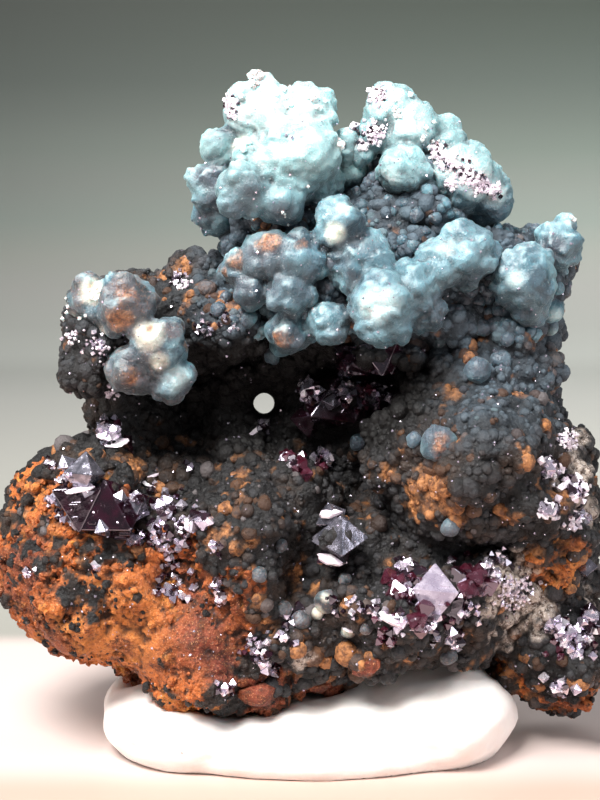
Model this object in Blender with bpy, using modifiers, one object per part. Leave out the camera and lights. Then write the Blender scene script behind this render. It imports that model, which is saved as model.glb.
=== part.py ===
"""A cuprite specimen: gossan rock with a black grape-like crust, blue-green crust
on its crown, groups of dark red octahedra, and the wad of putty that holds it up.

Run with: blender --background --python part.py
"""

import math
import random
from collections import namedtuple

import bmesh
import bpy
from mathutils import Euler, Matrix, Vector

# Every size and place below is in millimetres. The specimen faces -Y, +Z is up,
# and the origin is under the middle of the putty, on the surface it rests on.
MM = 0.001
SEED = 4

# Driving dimensions
GAP = 0.32
POCKET_GAP = 0.45
BED_GAP = 0.60
ROCK_VOXEL = 0.42
CRUST_VOXEL = 0.36
POCKET_VOXEL = 0.50
PUTTY_VOXEL = 0.60
ROCK_TRIANGLES = 4750
BED_TRIANGLES = 1300
HOLLOW_TRIANGLES = 320
CRUST_TRIANGLES_PER_LUMP = 50
POCKET_TRIANGLES_PER_LUMP = 12
PUTTY_TRIANGLES = 420

# How sharply a crust lump shows the octahedron under it: 2 is a ball, 1 a crystal.
LUMP_POINT = 1.62

# A mass is an ellipsoid: its middle, its half sizes across, deep and high, and
# its lean in the front view, in degrees clockwise.
Mass = namedtuple("Mass", "x y z across deep high lean", defaults=(0.0,))

# A lump is a rounded octahedron of this radius.
Lump = namedtuple("Lump", "x y z radius")

# A crystal is an octahedron of this radius, turned by three angles in degrees.
Crystal = namedtuple("Crystal", "x y z radius turn")

ROCK_MASSES = [
    Mass(-11.0, 0.3, 10.0, 6.7, 7.8, 6.1, 16),
    Mass(-12.7, -0.2, 14.0, 4.5, 6.0, 3.5, -30),
    Mass(-4.4, -0.6, 7.2, 7.2, 7.3, 4.9, 6),
    Mass(-4.0, -1.6, 13.0, 5.2, 6.0, 3.7, -6),
    Mass(5.0, -1.0, 9.2, 7.6, 6.9, 4.1),
    Mass(9.4, -2.0, 16.9, 5.4, 6.5, 5.0, 4),
    Mass(12.7, 0.2, 12.2, 3.9, 5.2, 6.2, 6),
    Mass(14.4, -0.6, 6.2, 3.4, 4.4, 3.7, -20),
    Mass(-0.8, 4.8, 14.0, 11.4, 4.0, 9.0),
    Mass(1.6, 4.4, 22.2, 8.8, 4.0, 6.4),
]

CROWN_MASSES = [
    Mass(4.1, 1.0, 26.9, 7.6, 5.6, 4.3),
    Mass(-2.0, 0.4, 30.8, 3.0, 3.8, 4.8, -6),
    Mass(6.6, 0.8, 31.2, 3.6, 3.8, 3.0, 16),
    Mass(12.8, 0.2, 28.0, 2.9, 3.4, 1.9, -8),
    Mass(11.7, 0.4, 23.6, 2.2, 3.8, 3.2),
    Mass(-6.2, 1.0, 24.8, 3.8, 4.0, 2.5),
    Mass(-10.7, -1.4, 24.0, 2.9, 3.6, 2.7, 10),
    Mass(-10.4, 0.8, 19.4, 1.2, 2.4, 2.8),
]

# The crust's own lumps: how many sit on each square millimetre of a mass, how
# large they are, and how deep they sink into it as a share of their radius.
ROCK_LUMPS_PER_MM2 = 0.055
CROWN_LUMPS_PER_MM2 = 0.075
LUMP_RADII = (1.0, 1.7)
LUMP_SINK = 0.05
CRUST_MARGIN = 0.9

# The rock's broken faces: the strength and grain of their roughness.
ROUGHNESS = 2.6
ROUGHNESS_GRAIN = 3.2

# The dark hollow under the crown, and the small window through its back wall.
HOLLOW_MASSES = [
    Mass(-1.6, -3.0, 19.9, 5.6, 5.2, 2.5, -4),
    Mass(2.6, -1.6, 20.8, 3.6, 4.2, 2.0),
    Mass(-7.2, -3.6, 20.0, 3.2, 4.4, 1.8, 12),
]
WINDOW_FROM = (-2.36, -2.0, 20.0)
WINDOW_TO = (-2.62, 12.0, 17.8)
WINDOW_RADIUS = 0.72
WINDOW_SIDES = 8

CRUSTS = {
    "blue_cap_left": [
        Lump(-1.1, -2.0, 33.6, 2.8),
        Lump(-2.6, -1.4, 36.2, 2.0),
        Lump(-2.4, -1.2, 37.9, 0.75),
        Lump(-0.1, -1.0, 36.2, 1.8),
        Lump(-4.7, -1.6, 34.5, 1.2),
        Lump(-5.1, -1.6, 32.3, 1.4),
        Lump(-5.0, -0.8, 30.7, 1.3),
        Lump(-3.3, -4.0, 32.2, 1.5),
        Lump(-1.3, -3.8, 31.5, 1.3),
        Lump(0.1, -3.0, 34.2, 1.9),
        Lump(0.7, -1.8, 32.6, 1.3),
        Lump(-1.8, 2.2, 34.4, 2.2),
        Lump(-3.6, 2.4, 32.0, 1.8),
        Lump(-4.2, 0.6, 33.4, 1.7),
        Lump(2.2, -1.0, 34.3, 0.9),
    ],
    "blue_cap_right": [
        Lump(4.9, -0.8, 36.3, 1.6),
        Lump(6.0, -1.0, 35.4, 1.7),
        Lump(5.4, -2.4, 33.2, 1.4),
        Lump(7.7, -0.6, 34.6, 1.5),
        Lump(8.8, -1.6, 32.8, 1.9),
        Lump(10.1, -0.8, 31.7, 1.7),
        Lump(7.2, 2.2, 34.0, 2.0),
    ],
    "blue_ridge": [
        Lump(1.9, -4.4, 30.4, 1.35),
        Lump(-0.3, -4.4, 28.3, 1.5),
        Lump(-2.1, -4.2, 28.6, 1.4),
        Lump(-3.6, -3.4, 27.9, 1.1),
        Lump(-0.8, -4.8, 26.6, 1.2),
        Lump(-3.0, -4.0, 26.6, 1.0),
        Lump(4.3, -5.8, 26.0, 1.95),
        Lump(5.9, -5.2, 27.0, 1.6),
        Lump(7.3, -4.8, 28.2, 1.4),
        Lump(8.8, -4.4, 28.7, 1.7),
        Lump(6.7, -5.0, 25.6, 1.1),
        Lump(1.4, -4.8, 25.0, 1.1),
        Lump(-0.9, -4.2, 24.4, 1.2),
        Lump(3.0, -4.2, 28.2, 1.8),
    ],
    "blue_knob_right": [
        Lump(12.1, -3.8, 27.3, 1.8),
        Lump(12.4, -3.6, 25.9, 1.2),
        Lump(14.2, -1.6, 28.9, 1.4),
        Lump(14.6, -1.4, 30.2, 0.7),
    ],
    "blue_arm_left": [
        Lump(-10.0, -4.4, 25.9, 1.8),
        Lump(-11.8, -3.6, 26.2, 1.3),
        Lump(-8.2, -4.8, 23.6, 1.7),
        Lump(-7.6, -4.8, 21.8, 1.2),
        Lump(-9.6, -4.6, 22.4, 1.5),
    ],
}

CUPRITE = {
    "cuprite_left": [
        Crystal(-12.4, -5.6, 16.0, 2.0, (10, 20, 5)),
        Crystal(-10.8, -6.0, 15.0, 2.1, (40, -15, 30)),
        Crystal(-11.9, -5.8, 14.1, 1.4, (75, 35, 10)),
        Crystal(-9.9, -5.6, 16.4, 1.2, (20, 60, 45)),
    ],
    "cuprite_cavity": [
        Crystal(1.3, 0.4, 19.6, 2.1, (15, 10, 35)),
        Crystal(3.3, 0.7, 19.8, 1.6, (50, 25, 5)),
        Crystal(0.2, 0.4, 18.7, 1.2, (70, 5, 20)),
        Crystal(4.7, 0.6, 19.4, 1.0, (30, 55, 10)),
    ],
    "cuprite_hanging": [
        Crystal(4.3, -3.2, 22.9, 1.8, (5, 5, 40)),
        Crystal(6.0, -3.0, 22.8, 1.2, (30, 15, 15)),
        Crystal(2.6, -2.9, 22.6, 1.3, (20, 40, 0)),
    ],
    "cuprite_centre": [
        Crystal(7.0, -7.3, 10.4, 1.8, (20, 15, 30)),
        Crystal(5.4, -7.5, 9.6, 1.4, (60, 20, 0)),
        Crystal(5.7, -7.1, 11.3, 1.2, (35, 70, 15)),
        Crystal(8.4, -7.1, 11.0, 1.2, (10, 50, 60)),
        Crystal(8.2, -7.1, 9.4, 1.1, (45, 10, 25)),
    ],
    "cuprite_silver": [
        Crystal(1.6, -7.2, 13.4, 1.5, (25, 30, 10)),
        Crystal(1.9, -6.8, 14.6, 0.9, (50, 15, 40)),
    ],
    "cuprite_right_edge": [
        Crystal(16.3, -3.3, 7.4, 1.5, (15, 35, 20)),
        Crystal(15.8, -3.9, 6.3, 1.1, (50, 10, 40)),
        Crystal(15.3, -4.3, 5.5, 0.9, (70, 30, 10)),
    ],
    "cuprite_neck": [
        Crystal(-11.1, -2.4, 18.3, 1.1, (30, 20, 15)),
        Crystal(-10.4, -2.4, 17.7, 0.8, (60, 45, 0)),
    ],
}

PUTTY_MASSES = [
    Mass(0.3, -0.6, 1.2, 12.0, 8.4, 2.3),
    Mass(7.8, -1.6, 2.2, 4.6, 6.6, 2.9, -6),
    Mass(-6.8, -1.2, 1.6, 5.2, 7.2, 2.2, 4),
    Mass(0.4, 1.2, 2.4, 8.6, 6.2, 2.2),
]
PUTTY_HALF_SIZE = 20.0

# Colour, roughness and metallic value of each material
MATERIALS = {
    "gossan": ((0.16, 0.07, 0.035), 0.85, 0.0),
    "blue_crust": ((0.30, 0.50, 0.52), 0.35, 0.0),
    "cuprite": ((0.07, 0.02, 0.03), 0.12, 0.35),
    "putty": ((0.86, 0.83, 0.80), 0.75, 0.0),
}


def clear_scene():
    for found in list(bpy.data.objects):
        bpy.data.objects.remove(found, do_unlink=True)


def new_collection(name):
    collection = bpy.data.collections.new(name)
    bpy.context.scene.collection.children.link(collection)
    return collection


def new_material(name):
    colour, roughness, metallic = MATERIALS[name]
    material = bpy.data.materials.new(name)
    material.use_nodes = True
    shader = material.node_tree.nodes["Principled BSDF"]
    shader.inputs["Base Color"].default_value = (*colour, 1.0)
    shader.inputs["Roughness"].default_value = roughness
    shader.inputs["Metallic"].default_value = metallic
    return material


def object_from(bm, name, collection, material=None):
    mesh = bpy.data.meshes.new(name)
    bm.to_mesh(mesh)
    bm.free()
    made = bpy.data.objects.new(name, mesh)
    if material:
        mesh.materials.append(material)
    collection.objects.link(made)
    return made


def make_cutter(made):
    made.hide_render = True
    made.display_type = "WIRE"
    return made


def settle(made):
    """Gives the object its modified mesh, so that later steps can count its faces."""
    bpy.context.view_layer.update()
    shown = made.evaluated_get(bpy.context.evaluated_depsgraph_get())
    mesh = bpy.data.meshes.new_from_object(shown)
    made.modifiers.clear()
    made.data = mesh
    return mesh


def melt_together(made, voxel):
    """Makes one skin round shapes that overlap."""
    remesh = made.modifiers.new("one skin", "REMESH")
    remesh.mode = "VOXEL"
    remesh.voxel_size = voxel * MM
    remesh.adaptivity = 0.0


def roughen(made, strength, grain):
    texture = bpy.data.textures.new(made.name + " grain", "CLOUDS")
    texture.noise_scale = grain * MM
    texture.noise_depth = 1
    displace = made.modifiers.new("broken faces", "DISPLACE")
    displace.texture = texture
    displace.texture_coords = "LOCAL"
    displace.strength = strength * MM
    displace.mid_level = 0.5


def thin_out(made, triangles):
    """Leaves about this many triangles, most of them where the surface curves."""
    mesh = settle(made)
    mesh.calc_loop_triangles()
    decimate = made.modifiers.new("fewer faces", "DECIMATE")
    decimate.ratio = min(1.0, triangles / len(mesh.loop_triangles))
    decimate.use_collapse_triangulate = True
    settle(made)


def cut(made, cutter):
    boolean = made.modifiers.new("room for " + cutter.name, "BOOLEAN")
    boolean.operation = "DIFFERENCE"
    boolean.solver = "EXACT"
    boolean.object = cutter


def join(made, other):
    boolean = made.modifiers.new("grown with " + other.name, "BOOLEAN")
    boolean.operation = "UNION"
    boolean.solver = "EXACT"
    boolean.object = other


def mass_matrix(mass, grow=0.0):
    place = Vector((mass.x, mass.y, mass.z)) * MM
    lean = Euler((0.0, math.radians(mass.lean), 0.0)).to_quaternion()
    half = Vector((mass.across + grow, mass.deep + grow, mass.high + grow)) * MM
    return Matrix.LocRotScale(place, lean, half)


def add_mass(bm, mass, grow=0.0, detail=4):
    bmesh.ops.create_icosphere(
        bm, subdivisions=detail, radius=1.0, matrix=mass_matrix(mass, grow)
    )


def add_lump(bm, lump, rng, grow=0.0, detail=3):
    """A rounded octahedron: a ball pushed out along its three axes."""
    made = bmesh.ops.create_icosphere(bm, subdivisions=detail, radius=1.0)
    turn = Euler([rng.uniform(0.0, math.pi / 2) for _ in range(3)]).to_matrix()
    centre = Vector((lump.x, lump.y, lump.z))
    for vertex in made["verts"]:
        way = vertex.co.normalized()
        reach = sum(abs(part) ** LUMP_POINT for part in way) ** (-1.0 / LUMP_POINT)
        reach *= 3.0 ** (0.5 / LUMP_POINT - 0.25)
        vertex.co = (centre + turn @ way * (lump.radius * reach + grow)) * MM


def inside(mass, point, shrink=0.92):
    local = mass_matrix(mass).inverted() @ (Vector(point) * MM)
    return local.length < shrink


def under_crust(place, radius):
    """Whether the blue-green crust would hide or cut through a lump here."""
    return any(
        (place - Vector((lump.x, lump.y, lump.z))).length < lump.radius + radius
        for lumps in CRUSTS.values()
        for lump in lumps
    )


def scatter_lumps(bm, masses, others, per_mm2, rng):
    """Balls part sunk in the masses, where neither another mass nor crust hides them."""
    for mass in masses:
        a, b, c = mass.across, mass.deep, mass.high
        power = 1.6
        mean = ((a * b) ** power + (a * c) ** power + (b * c) ** power) / 3.0
        area = 4.0 * math.pi * mean ** (1.0 / power)
        matrix = mass_matrix(mass)
        for _ in range(round(area * per_mm2)):
            way = Vector([rng.gauss(0.0, 1.0) for _ in range(3)]).normalized()
            radius = rng.uniform(*LUMP_RADII)
            place = (matrix @ way) / MM
            inward = (Vector((mass.x, mass.y, mass.z)) - place).normalized()
            place += inward * radius * LUMP_SINK
            if any(inside(other, place) for other in others if other is not mass):
                continue
            if under_crust(place, radius * CRUST_MARGIN):
                continue
            add_mass(bm, Mass(*place, radius, radius, radius * 0.9), detail=2)


def window_cutter(collection):
    """A narrow tapered hole through the back wall of the hollow."""
    start, end = Vector(WINDOW_FROM) * MM, Vector(WINDOW_TO) * MM
    bm = bmesh.new()
    bmesh.ops.create_cone(
        bm,
        cap_ends=True,
        segments=WINDOW_SIDES,
        radius1=WINDOW_RADIUS * MM,
        radius2=WINDOW_RADIUS * MM,
        depth=(end - start).length,
        matrix=Matrix.Translation((start + end) / 2)
        @ (end - start).to_track_quat("Z", "Y").to_matrix().to_4x4(),
    )
    return make_cutter(object_from(bm, "window", collection))


def hollow_cutter(collection):
    bm = bmesh.new()
    for mass in HOLLOW_MASSES:
        add_mass(bm, mass)
    made = make_cutter(object_from(bm, "hollow", collection))
    melt_together(made, ROCK_VOXEL)
    thin_out(made, HOLLOW_TRIANGLES)
    return made


def make_matrix(collection, cutters):
    rng = random.Random(SEED)
    bm = bmesh.new()
    masses = ROCK_MASSES + CROWN_MASSES
    for mass in masses:
        add_mass(bm, mass)
    rock = object_from(bm, "matrix", collection, new_material("gossan"))
    melt_together(rock, ROCK_VOXEL)
    roughen(rock, ROUGHNESS, ROUGHNESS_GRAIN)
    settle(rock)
    bm = bmesh.new()
    bm.from_mesh(rock.data)
    scatter_lumps(bm, ROCK_MASSES[2:], masses, ROCK_LUMPS_PER_MM2, rng)
    scatter_lumps(bm, CROWN_MASSES, masses, CROWN_LUMPS_PER_MM2, rng)
    bm.to_mesh(rock.data)
    bm.free()
    melt_together(rock, ROCK_VOXEL)
    thin_out(rock, ROCK_TRIANGLES)
    for cutter in cutters:
        cut(rock, cutter)
    return rock


def crust_shape(name, collection, grow, voxel, triangles, material=None):
    """The lumps of one crust, melted together; grown, it is the pocket they sit in."""
    rng = random.Random(name.removesuffix(" pocket"))
    bm = bmesh.new()
    lumps = CRUSTS[name.removesuffix(" pocket")]
    for lump in lumps:
        add_lump(bm, lump, rng, grow)
    made = object_from(bm, name, collection, material)
    melt_together(made, voxel)
    thin_out(made, triangles * len(lumps))
    return made


def octahedron(name, crystal, collection, grow=0.0, material=None):
    """A ball of four segments and two rings; its faces move out by the growth."""
    bm = bmesh.new()
    turn = Euler([math.radians(angle) for angle in crystal.turn])
    place = Vector((crystal.x, crystal.y, crystal.z)) * MM
    bmesh.ops.create_uvsphere(
        bm,
        u_segments=4,
        v_segments=2,
        radius=(crystal.radius + grow * math.sqrt(3.0)) * MM,
        matrix=Matrix.LocRotScale(place, turn.to_quaternion(), None),
    )
    return object_from(bm, name, collection, material)


def crystal_group(name, collection, cutters, grow=0.0, material=None):
    """Octahedra grown into each other as one piece."""
    first, *rest = CUPRITE[name.removesuffix(" pocket")]
    group = octahedron(name, first, collection, grow, material)
    for number, crystal in enumerate(rest):
        other = octahedron(f"{name} {number + 2}", crystal, cutters, grow)
        join(group, make_cutter(other))
    return group


def make_putty(collection, cutters, specimen):
    """A pressed wad with a flat underside and a bed for the specimen."""
    bm = bmesh.new()
    for mass in PUTTY_MASSES:
        add_mass(bm, mass)
    putty = object_from(bm, "putty", collection, new_material("putty"))
    melt_together(putty, PUTTY_VOXEL)
    thin_out(putty, PUTTY_TRIANGLES)

    half = PUTTY_HALF_SIZE * MM
    bm = bmesh.new()
    bmesh.ops.create_cube(
        bm,
        size=2.0 * half,
        matrix=Matrix.Translation((0.0, 0.0, -half)),
    )
    cut(putty, make_cutter(object_from(bm, "resting surface", cutters)))

    bed = bmesh.new()
    bed.from_mesh(specimen)
    bed_cutter = make_cutter(object_from(bed, "bed", cutters))
    displace = bed_cutter.modifiers.new("room", "DISPLACE")
    displace.strength = BED_GAP * MM
    displace.mid_level = 0.0
    melt_together(bed_cutter, ROCK_VOXEL)
    thin_out(bed_cutter, BED_TRIANGLES)
    cut(putty, bed_cutter)
    return putty


def main():
    clear_scene()
    specimen = new_collection("cuprite_specimen")
    cutters = new_collection("cutters")

    crust = new_material("blue_crust")
    red = new_material("cuprite")
    pockets = [hollow_cutter(cutters), window_cutter(cutters)]
    for name in CRUSTS:
        crust_shape(name, specimen, 0.0, CRUST_VOXEL, CRUST_TRIANGLES_PER_LUMP, crust)
        pocket = crust_shape(
            name + " pocket", cutters, POCKET_GAP, POCKET_VOXEL, POCKET_TRIANGLES_PER_LUMP
        )
        pockets.append(make_cutter(pocket))
    for name in CUPRITE:
        crystal_group(name, specimen, cutters, 0.0, red)
        pocket = crystal_group(name + " pocket", cutters, cutters, GAP)
        pockets.append(make_cutter(pocket))

    rock = make_matrix(specimen, pockets)
    shown = rock.evaluated_get(bpy.context.evaluated_depsgraph_get())
    make_putty(specimen, cutters, bpy.data.meshes.new_from_object(shown))


main()
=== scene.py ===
"""Dresses the cuprite specimen: gossan rock under a black grape-like crust, waxy
blue-green crust, mirror-faced dark red octahedra and the white putty that holds it.
"""

import itertools
import math
import random
from collections import namedtuple

import bmesh
import bpy
import numpy as np
from mathutils import Euler, Matrix, Vector
from mathutils.bvhtree import BVHTree


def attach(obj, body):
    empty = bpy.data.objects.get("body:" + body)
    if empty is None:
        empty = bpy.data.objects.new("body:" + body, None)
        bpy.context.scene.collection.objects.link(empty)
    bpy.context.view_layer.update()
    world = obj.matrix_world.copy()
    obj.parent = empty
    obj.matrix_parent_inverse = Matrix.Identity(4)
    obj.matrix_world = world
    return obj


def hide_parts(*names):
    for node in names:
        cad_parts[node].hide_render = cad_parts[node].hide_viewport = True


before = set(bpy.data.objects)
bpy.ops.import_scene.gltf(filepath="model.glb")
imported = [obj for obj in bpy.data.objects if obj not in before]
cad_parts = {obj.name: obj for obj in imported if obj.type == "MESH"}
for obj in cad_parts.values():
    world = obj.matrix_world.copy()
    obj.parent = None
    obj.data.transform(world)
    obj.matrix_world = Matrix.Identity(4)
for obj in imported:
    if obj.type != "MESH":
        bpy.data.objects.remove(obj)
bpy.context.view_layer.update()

bl_info = {
    "name": "Cuprite specimen",
    "version": (1, 0, 0),
    "blender": (4, 5, 0),
    "location": "3D View > Sidebar > Cuprite",
    "description": "Builds the surfaces of a cuprite specimen round its solids",
    "category": "Object",
}

# Places and sizes below are in millimetres, in the frame of the solids.
MM = 0.001

# The camera: what it looks at, how far off, how high and through which lens.
LOOK_AT = Vector((-0.3, 0.0, 19.9))
CAMERA_DISTANCE = 109.6
CAMERA_ELEVATION = math.radians(9.0)
PICTURE = (600, 800)
LENS = 85.0
SENSOR = 36.0

# A lump of crust is a rounded octahedron of this radius.
Lump = namedtuple("Lump", "x y z radius")

# A crystal is an octahedron of this radius, turned by three angles in degrees.
Crystal = namedtuple("Crystal", "x y z radius turn")

# A patch is a place seen in the picture, in its pixels, with a radius in pixels.
Patch = namedtuple("Patch", "across down radius strength", defaults=(1.0,))

# A thin pale plate: where it lies, how long and thick in pixels, and its turn.
Plate = namedtuple("Plate", "across down long thick turn")

# A cluster of small octahedra: where, how wide, how many and how large in pixels.
Druse = namedtuple("Druse", "across down radius count small large")


def table(kind, *rows):
    """Rows of numbers, each made one of this kind."""
    return [kind(*row) for row in rows]


# How sharply a crust lump shows the octahedron under it: 2 is a ball, 1 a crystal.
LUMP_POINT = 1.62

# The lumps of each crust, as in its solid, with a few more between them.
CRUSTS = {
    "blue_cap_left": table(
        Lump, (-1.1, -2.0, 33.6, 2.8), (-2.6, -1.4, 36.2, 2.0), (-2.4, -1.2, 37.9, 0.75),
        (-0.1, -1.0, 36.2, 1.8), (-4.7, -1.6, 34.5, 1.2), (-5.1, -1.6, 32.3, 1.4),
        (-5.0, -0.8, 30.7, 1.3), (-3.3, -4.0, 32.2, 1.5), (-1.3, -3.8, 31.5, 1.3),
        (0.1, -3.0, 34.2, 1.9), (0.7, -1.8, 32.6, 1.3), (-1.8, 2.2, 34.4, 2.2),
        (-3.6, 2.4, 32.0, 1.8), (-4.2, 0.6, 33.4, 1.7), (2.2, -1.0, 34.3, 0.9),
        (2.5, -0.3, 33.1, 1.0), (3.0, 0.3, 32.2, 0.9),
    ),
    "blue_cap_right": table(
        Lump, (4.9, -0.8, 36.3, 1.6), (4.3, -1.0, 35.3, 1.25), (3.1, -1.0, 34.3, 0.65),
        (6.0, -1.0, 35.4, 1.7), (5.4, -2.4, 33.2, 1.4), (7.7, -0.6, 34.6, 1.5),
        (8.8, -1.6, 32.8, 1.9), (10.1, -0.8, 31.7, 1.7), (7.2, 2.2, 34.0, 2.0),
    ),
    "blue_ridge": table(
        Lump, (1.9, -4.4, 30.4, 1.35), (-0.3, -4.4, 28.3, 1.5), (-2.1, -4.2, 28.6, 1.4),
        (-3.6, -3.4, 27.9, 1.1), (-0.8, -4.8, 26.6, 1.2), (-3.0, -4.0, 26.6, 1.0),
        (4.3, -5.8, 26.0, 1.95), (5.9, -5.2, 27.0, 1.6), (7.3, -4.8, 28.2, 1.4),
        (8.8, -4.4, 28.7, 1.7), (6.7, -5.0, 25.6, 1.1), (1.4, -4.8, 25.0, 1.1),
        (-0.9, -4.2, 24.4, 1.2), (3.0, -4.2, 28.2, 1.8),
    ),
    "blue_knob_right": table(
        Lump, (12.1, -3.8, 27.3, 1.8), (12.4, -3.6, 25.9, 1.2), (14.2, -1.6, 28.9, 1.4),
        (14.6, -1.4, 30.2, 0.7),
    ),
    "blue_arm_left": table(
        Lump, (-10.0, -4.4, 25.9, 1.8), (-11.8, -3.6, 26.2, 1.3), (-8.2, -4.8, 23.6, 1.7),
        (-7.6, -4.8, 21.8, 1.2), (-9.6, -4.6, 22.4, 1.5),
    ),
}

# The dark crystals of each group, as in its solid.
CUPRITE = {
    "cuprite_left": table(
        Crystal, (-12.3, -6.1, 15.2, 2.0, (-51, -49, 86)),
        (-10.6, -6.3, 14.6, 2.3, (15, -19, 26)), (-12.2, -5.6, 16.5, 1.3, (34, 45, 0)),
    ),
    "cuprite_cavity": table(
        Crystal, (1.3, 0.4, 19.6, 2.1, (15, 28, -23)), (3.3, 0.7, 19.8, 1.6, (50, 25, 5)),
        (0.2, 0.4, 18.7, 1.2, (70, 5, 20)), (4.7, 0.6, 19.4, 1.0, (30, 55, 10)),
    ),
    "cuprite_hanging": table(
        Crystal, (4.3, -3.0, 22.9, 1.6, (44, 26, 23)),
        (6.0, -2.8, 22.8, 1.0, (-46, -48, 94)), (2.6, -2.9, 22.6, 1.3, (20, 40, 0)),
    ),
    "cuprite_centre": table(
        Crystal, (5.4, -7.5, 9.6, 1.4, (60, 20, 0)), (5.7, -7.1, 11.3, 1.2, (35, 70, 15)),
        (8.4, -7.1, 11.0, 1.2, (10, 50, 60)), (8.2, -7.1, 9.4, 1.1, (45, 10, 25)),
    ),
    "cuprite_silver": table(Crystal, (1.6, -6.9, 12.4, 1.2, (15, -19, 26))),
    "cuprite_right_edge": table(
        Crystal, (16.3, -3.3, 7.4, 1.5, (-103, -5, 155)),
        (15.8, -3.9, 6.3, 1.1, (50, 10, 40)), (15.3, -4.3, 5.5, 0.9, (70, 30, 10)),
    ),
    "cuprite_neck": table(Crystal, (-10.4, -2.4, 17.7, 0.8, (60, 45, 0))),
}

# Crystals of the same nodes with a silvery skin.
SILVERED = {
    "cuprite_left": table(
        Crystal, (-12.1, -6.7, 16.9, 1.25, (-55, 81, -119)),
        (-9.4, -6.4, 14.9, 1.0, (44, 26, 23)), (-11.0, -7.5, 14.0, 0.6, (7, -26, 9)),
        (-13.6, -6.2, 15.4, 0.7, (28, -1, -3)), (-11.9, -7.0, 15.9, 0.55, (-31, -65, 78)),
        (-10.1, -7.3, 15.7, 0.45, (14, 14, 18)), (-12.6, -6.9, 14.2, 0.5, (-55, 81, -119)),
        (-13.2, -5.6, 17.2, 0.6, (7, -26, 9)),
    ),
    "cuprite_cavity": table(
        Crystal, (0.3, -0.7, 20.6, 0.9, (28, -1, -3)), (2.4, -0.8, 20.6, 0.7, (7, -26, 9)),
        (3.7, -0.6, 20.3, 0.8, (-92, -29, 163)), (1.5, -0.9, 19.9, 0.6, (14, 14, 18)),
    ),
    "cuprite_silver": table(
        Crystal, (1.9, -7.2, 13.4, 1.6, (27, 0, 3)), (1.4, -7.0, 14.5, 1.0, (15, -19, 26)),
    ),
    "cuprite_neck": table(Crystal, (-11.1, -2.6, 18.3, 1.1, (34, 45, 0))),
    "cuprite_right_edge": table(Crystal, (15.8, -4.1, 11.0, 0.8, (27, 0, 3))),
}

# A crystal of the same node, painted pale lilac as the reflection on its faces.
LILAC = {
    "cuprite_centre": table(Crystal, (7.0, -7.6, 10.3, 1.8, (-31, -65, 78))),
}

# The gossan shows bare in these patches; elsewhere the black crust covers it.
BARE_ROCK = table(
    Patch, (60, 530, 66), (60, 610, 84), (15, 600, 50), (20, 480, 30), (90, 655, 50),
    (150, 610, 75), (150, 690, 46), (200, 645, 60), (235, 590, 26, 0.7),
    (268, 690, 32, 0.9), (320, 690, 30, 0.8), (508, 672, 20, 0.6), (572, 560, 28, 0.8),
    (545, 575, 16, 0.8),
)

# Black crust again, on the bare gossan.
BLACK_PATCHES = table(
    Patch, (72, 592, 14), (98, 600, 11), (90, 618, 7), (84, 563, 9), (45, 527, 12),
    (62, 545, 9), (28, 552, 9), (112, 547, 15), (140, 548, 9), (36, 484, 6), (28, 466, 6),
    (62, 446, 22), (90, 450, 26), (55, 470, 12), (12, 530, 8), (20, 548, 8), (42, 566, 8),
    (16, 580, 8), (6, 560, 6), (85, 549, 10), (103, 560, 9), (124, 557, 9), (60, 562, 7),
    (70, 578, 7), (8, 600, 9), (35, 598, 9), (10, 622, 8), (28, 640, 7), (38, 546, 8),
    (100, 667, 7), (124, 676, 7), (150, 686, 6), (176, 692, 8), (198, 702, 8), (30, 616, 6),
    (52, 606, 6), (121, 603, 3), (133, 600, 3), (163, 660, 6), (150, 690, 7),
    (215, 692, 12), (240, 700, 12), (248, 665, 16), (215, 560, 16), (536, 700, 13),
    (520, 660, 9), (300, 700, 10), (340, 695, 9),
)

# Rust on the black crust.
RUST_SPOTS = table(
    Patch, (440, 496, 26), (415, 502, 16), (503, 515, 11, 0.8), (390, 470, 9),
    (458, 445, 7), (475, 369, 8), (452, 396, 9), (364, 430, 8), (365, 509, 8),
    (540, 430, 8), (520, 400, 8, 0.6), (130, 465, 14), (164, 490, 12, 0.9),
    (217, 470, 6, 0.8), (240, 455, 7, 0.7), (250, 538, 7, 0.7), (215, 540, 9, 0.7),
    (155, 280, 9), (180, 270, 8, 0.7), (205, 258, 8, 0.7), (236, 262, 9, 0.7),
    (225, 300, 8, 0.6), (205, 290, 8, 0.8), (190, 300, 7, 0.7), (240, 310, 9, 0.7),
    (185, 345, 7, 0.6), (555, 494, 15), (590, 498, 6, 0.8), (508, 668, 14, 0.6),
    (528, 688, 14, 0.6), (505, 690, 12, 0.6), (570, 565, 18, 0.6), (532, 557, 12, 0.8),
    (410, 655, 8, 0.6), (430, 640, 7, 0.5), (350, 655, 9, 0.6), (270, 625, 9, 0.6),
    (255, 575, 9, 0.6), (310, 655, 8, 0.6), (470, 630, 8, 0.5), (280, 590, 7, 0.6),
    (500, 600, 9, 0.7), (515, 630, 8, 0.6), (318, 687, 12, 0.8), (364, 668, 12, 0.7),
    (300, 640, 9, 0.6), (345, 600, 8, 0.5), (200, 605, 9, 0.6), (318, 590, 7, 0.6),
    (395, 640, 8, 0.5), (290, 572, 8, 0.7), (297, 592, 8, 0.6), (262, 600, 8, 0.5),
    (240, 545, 8, 0.5), (228, 530, 6, 0.5),
)
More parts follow.
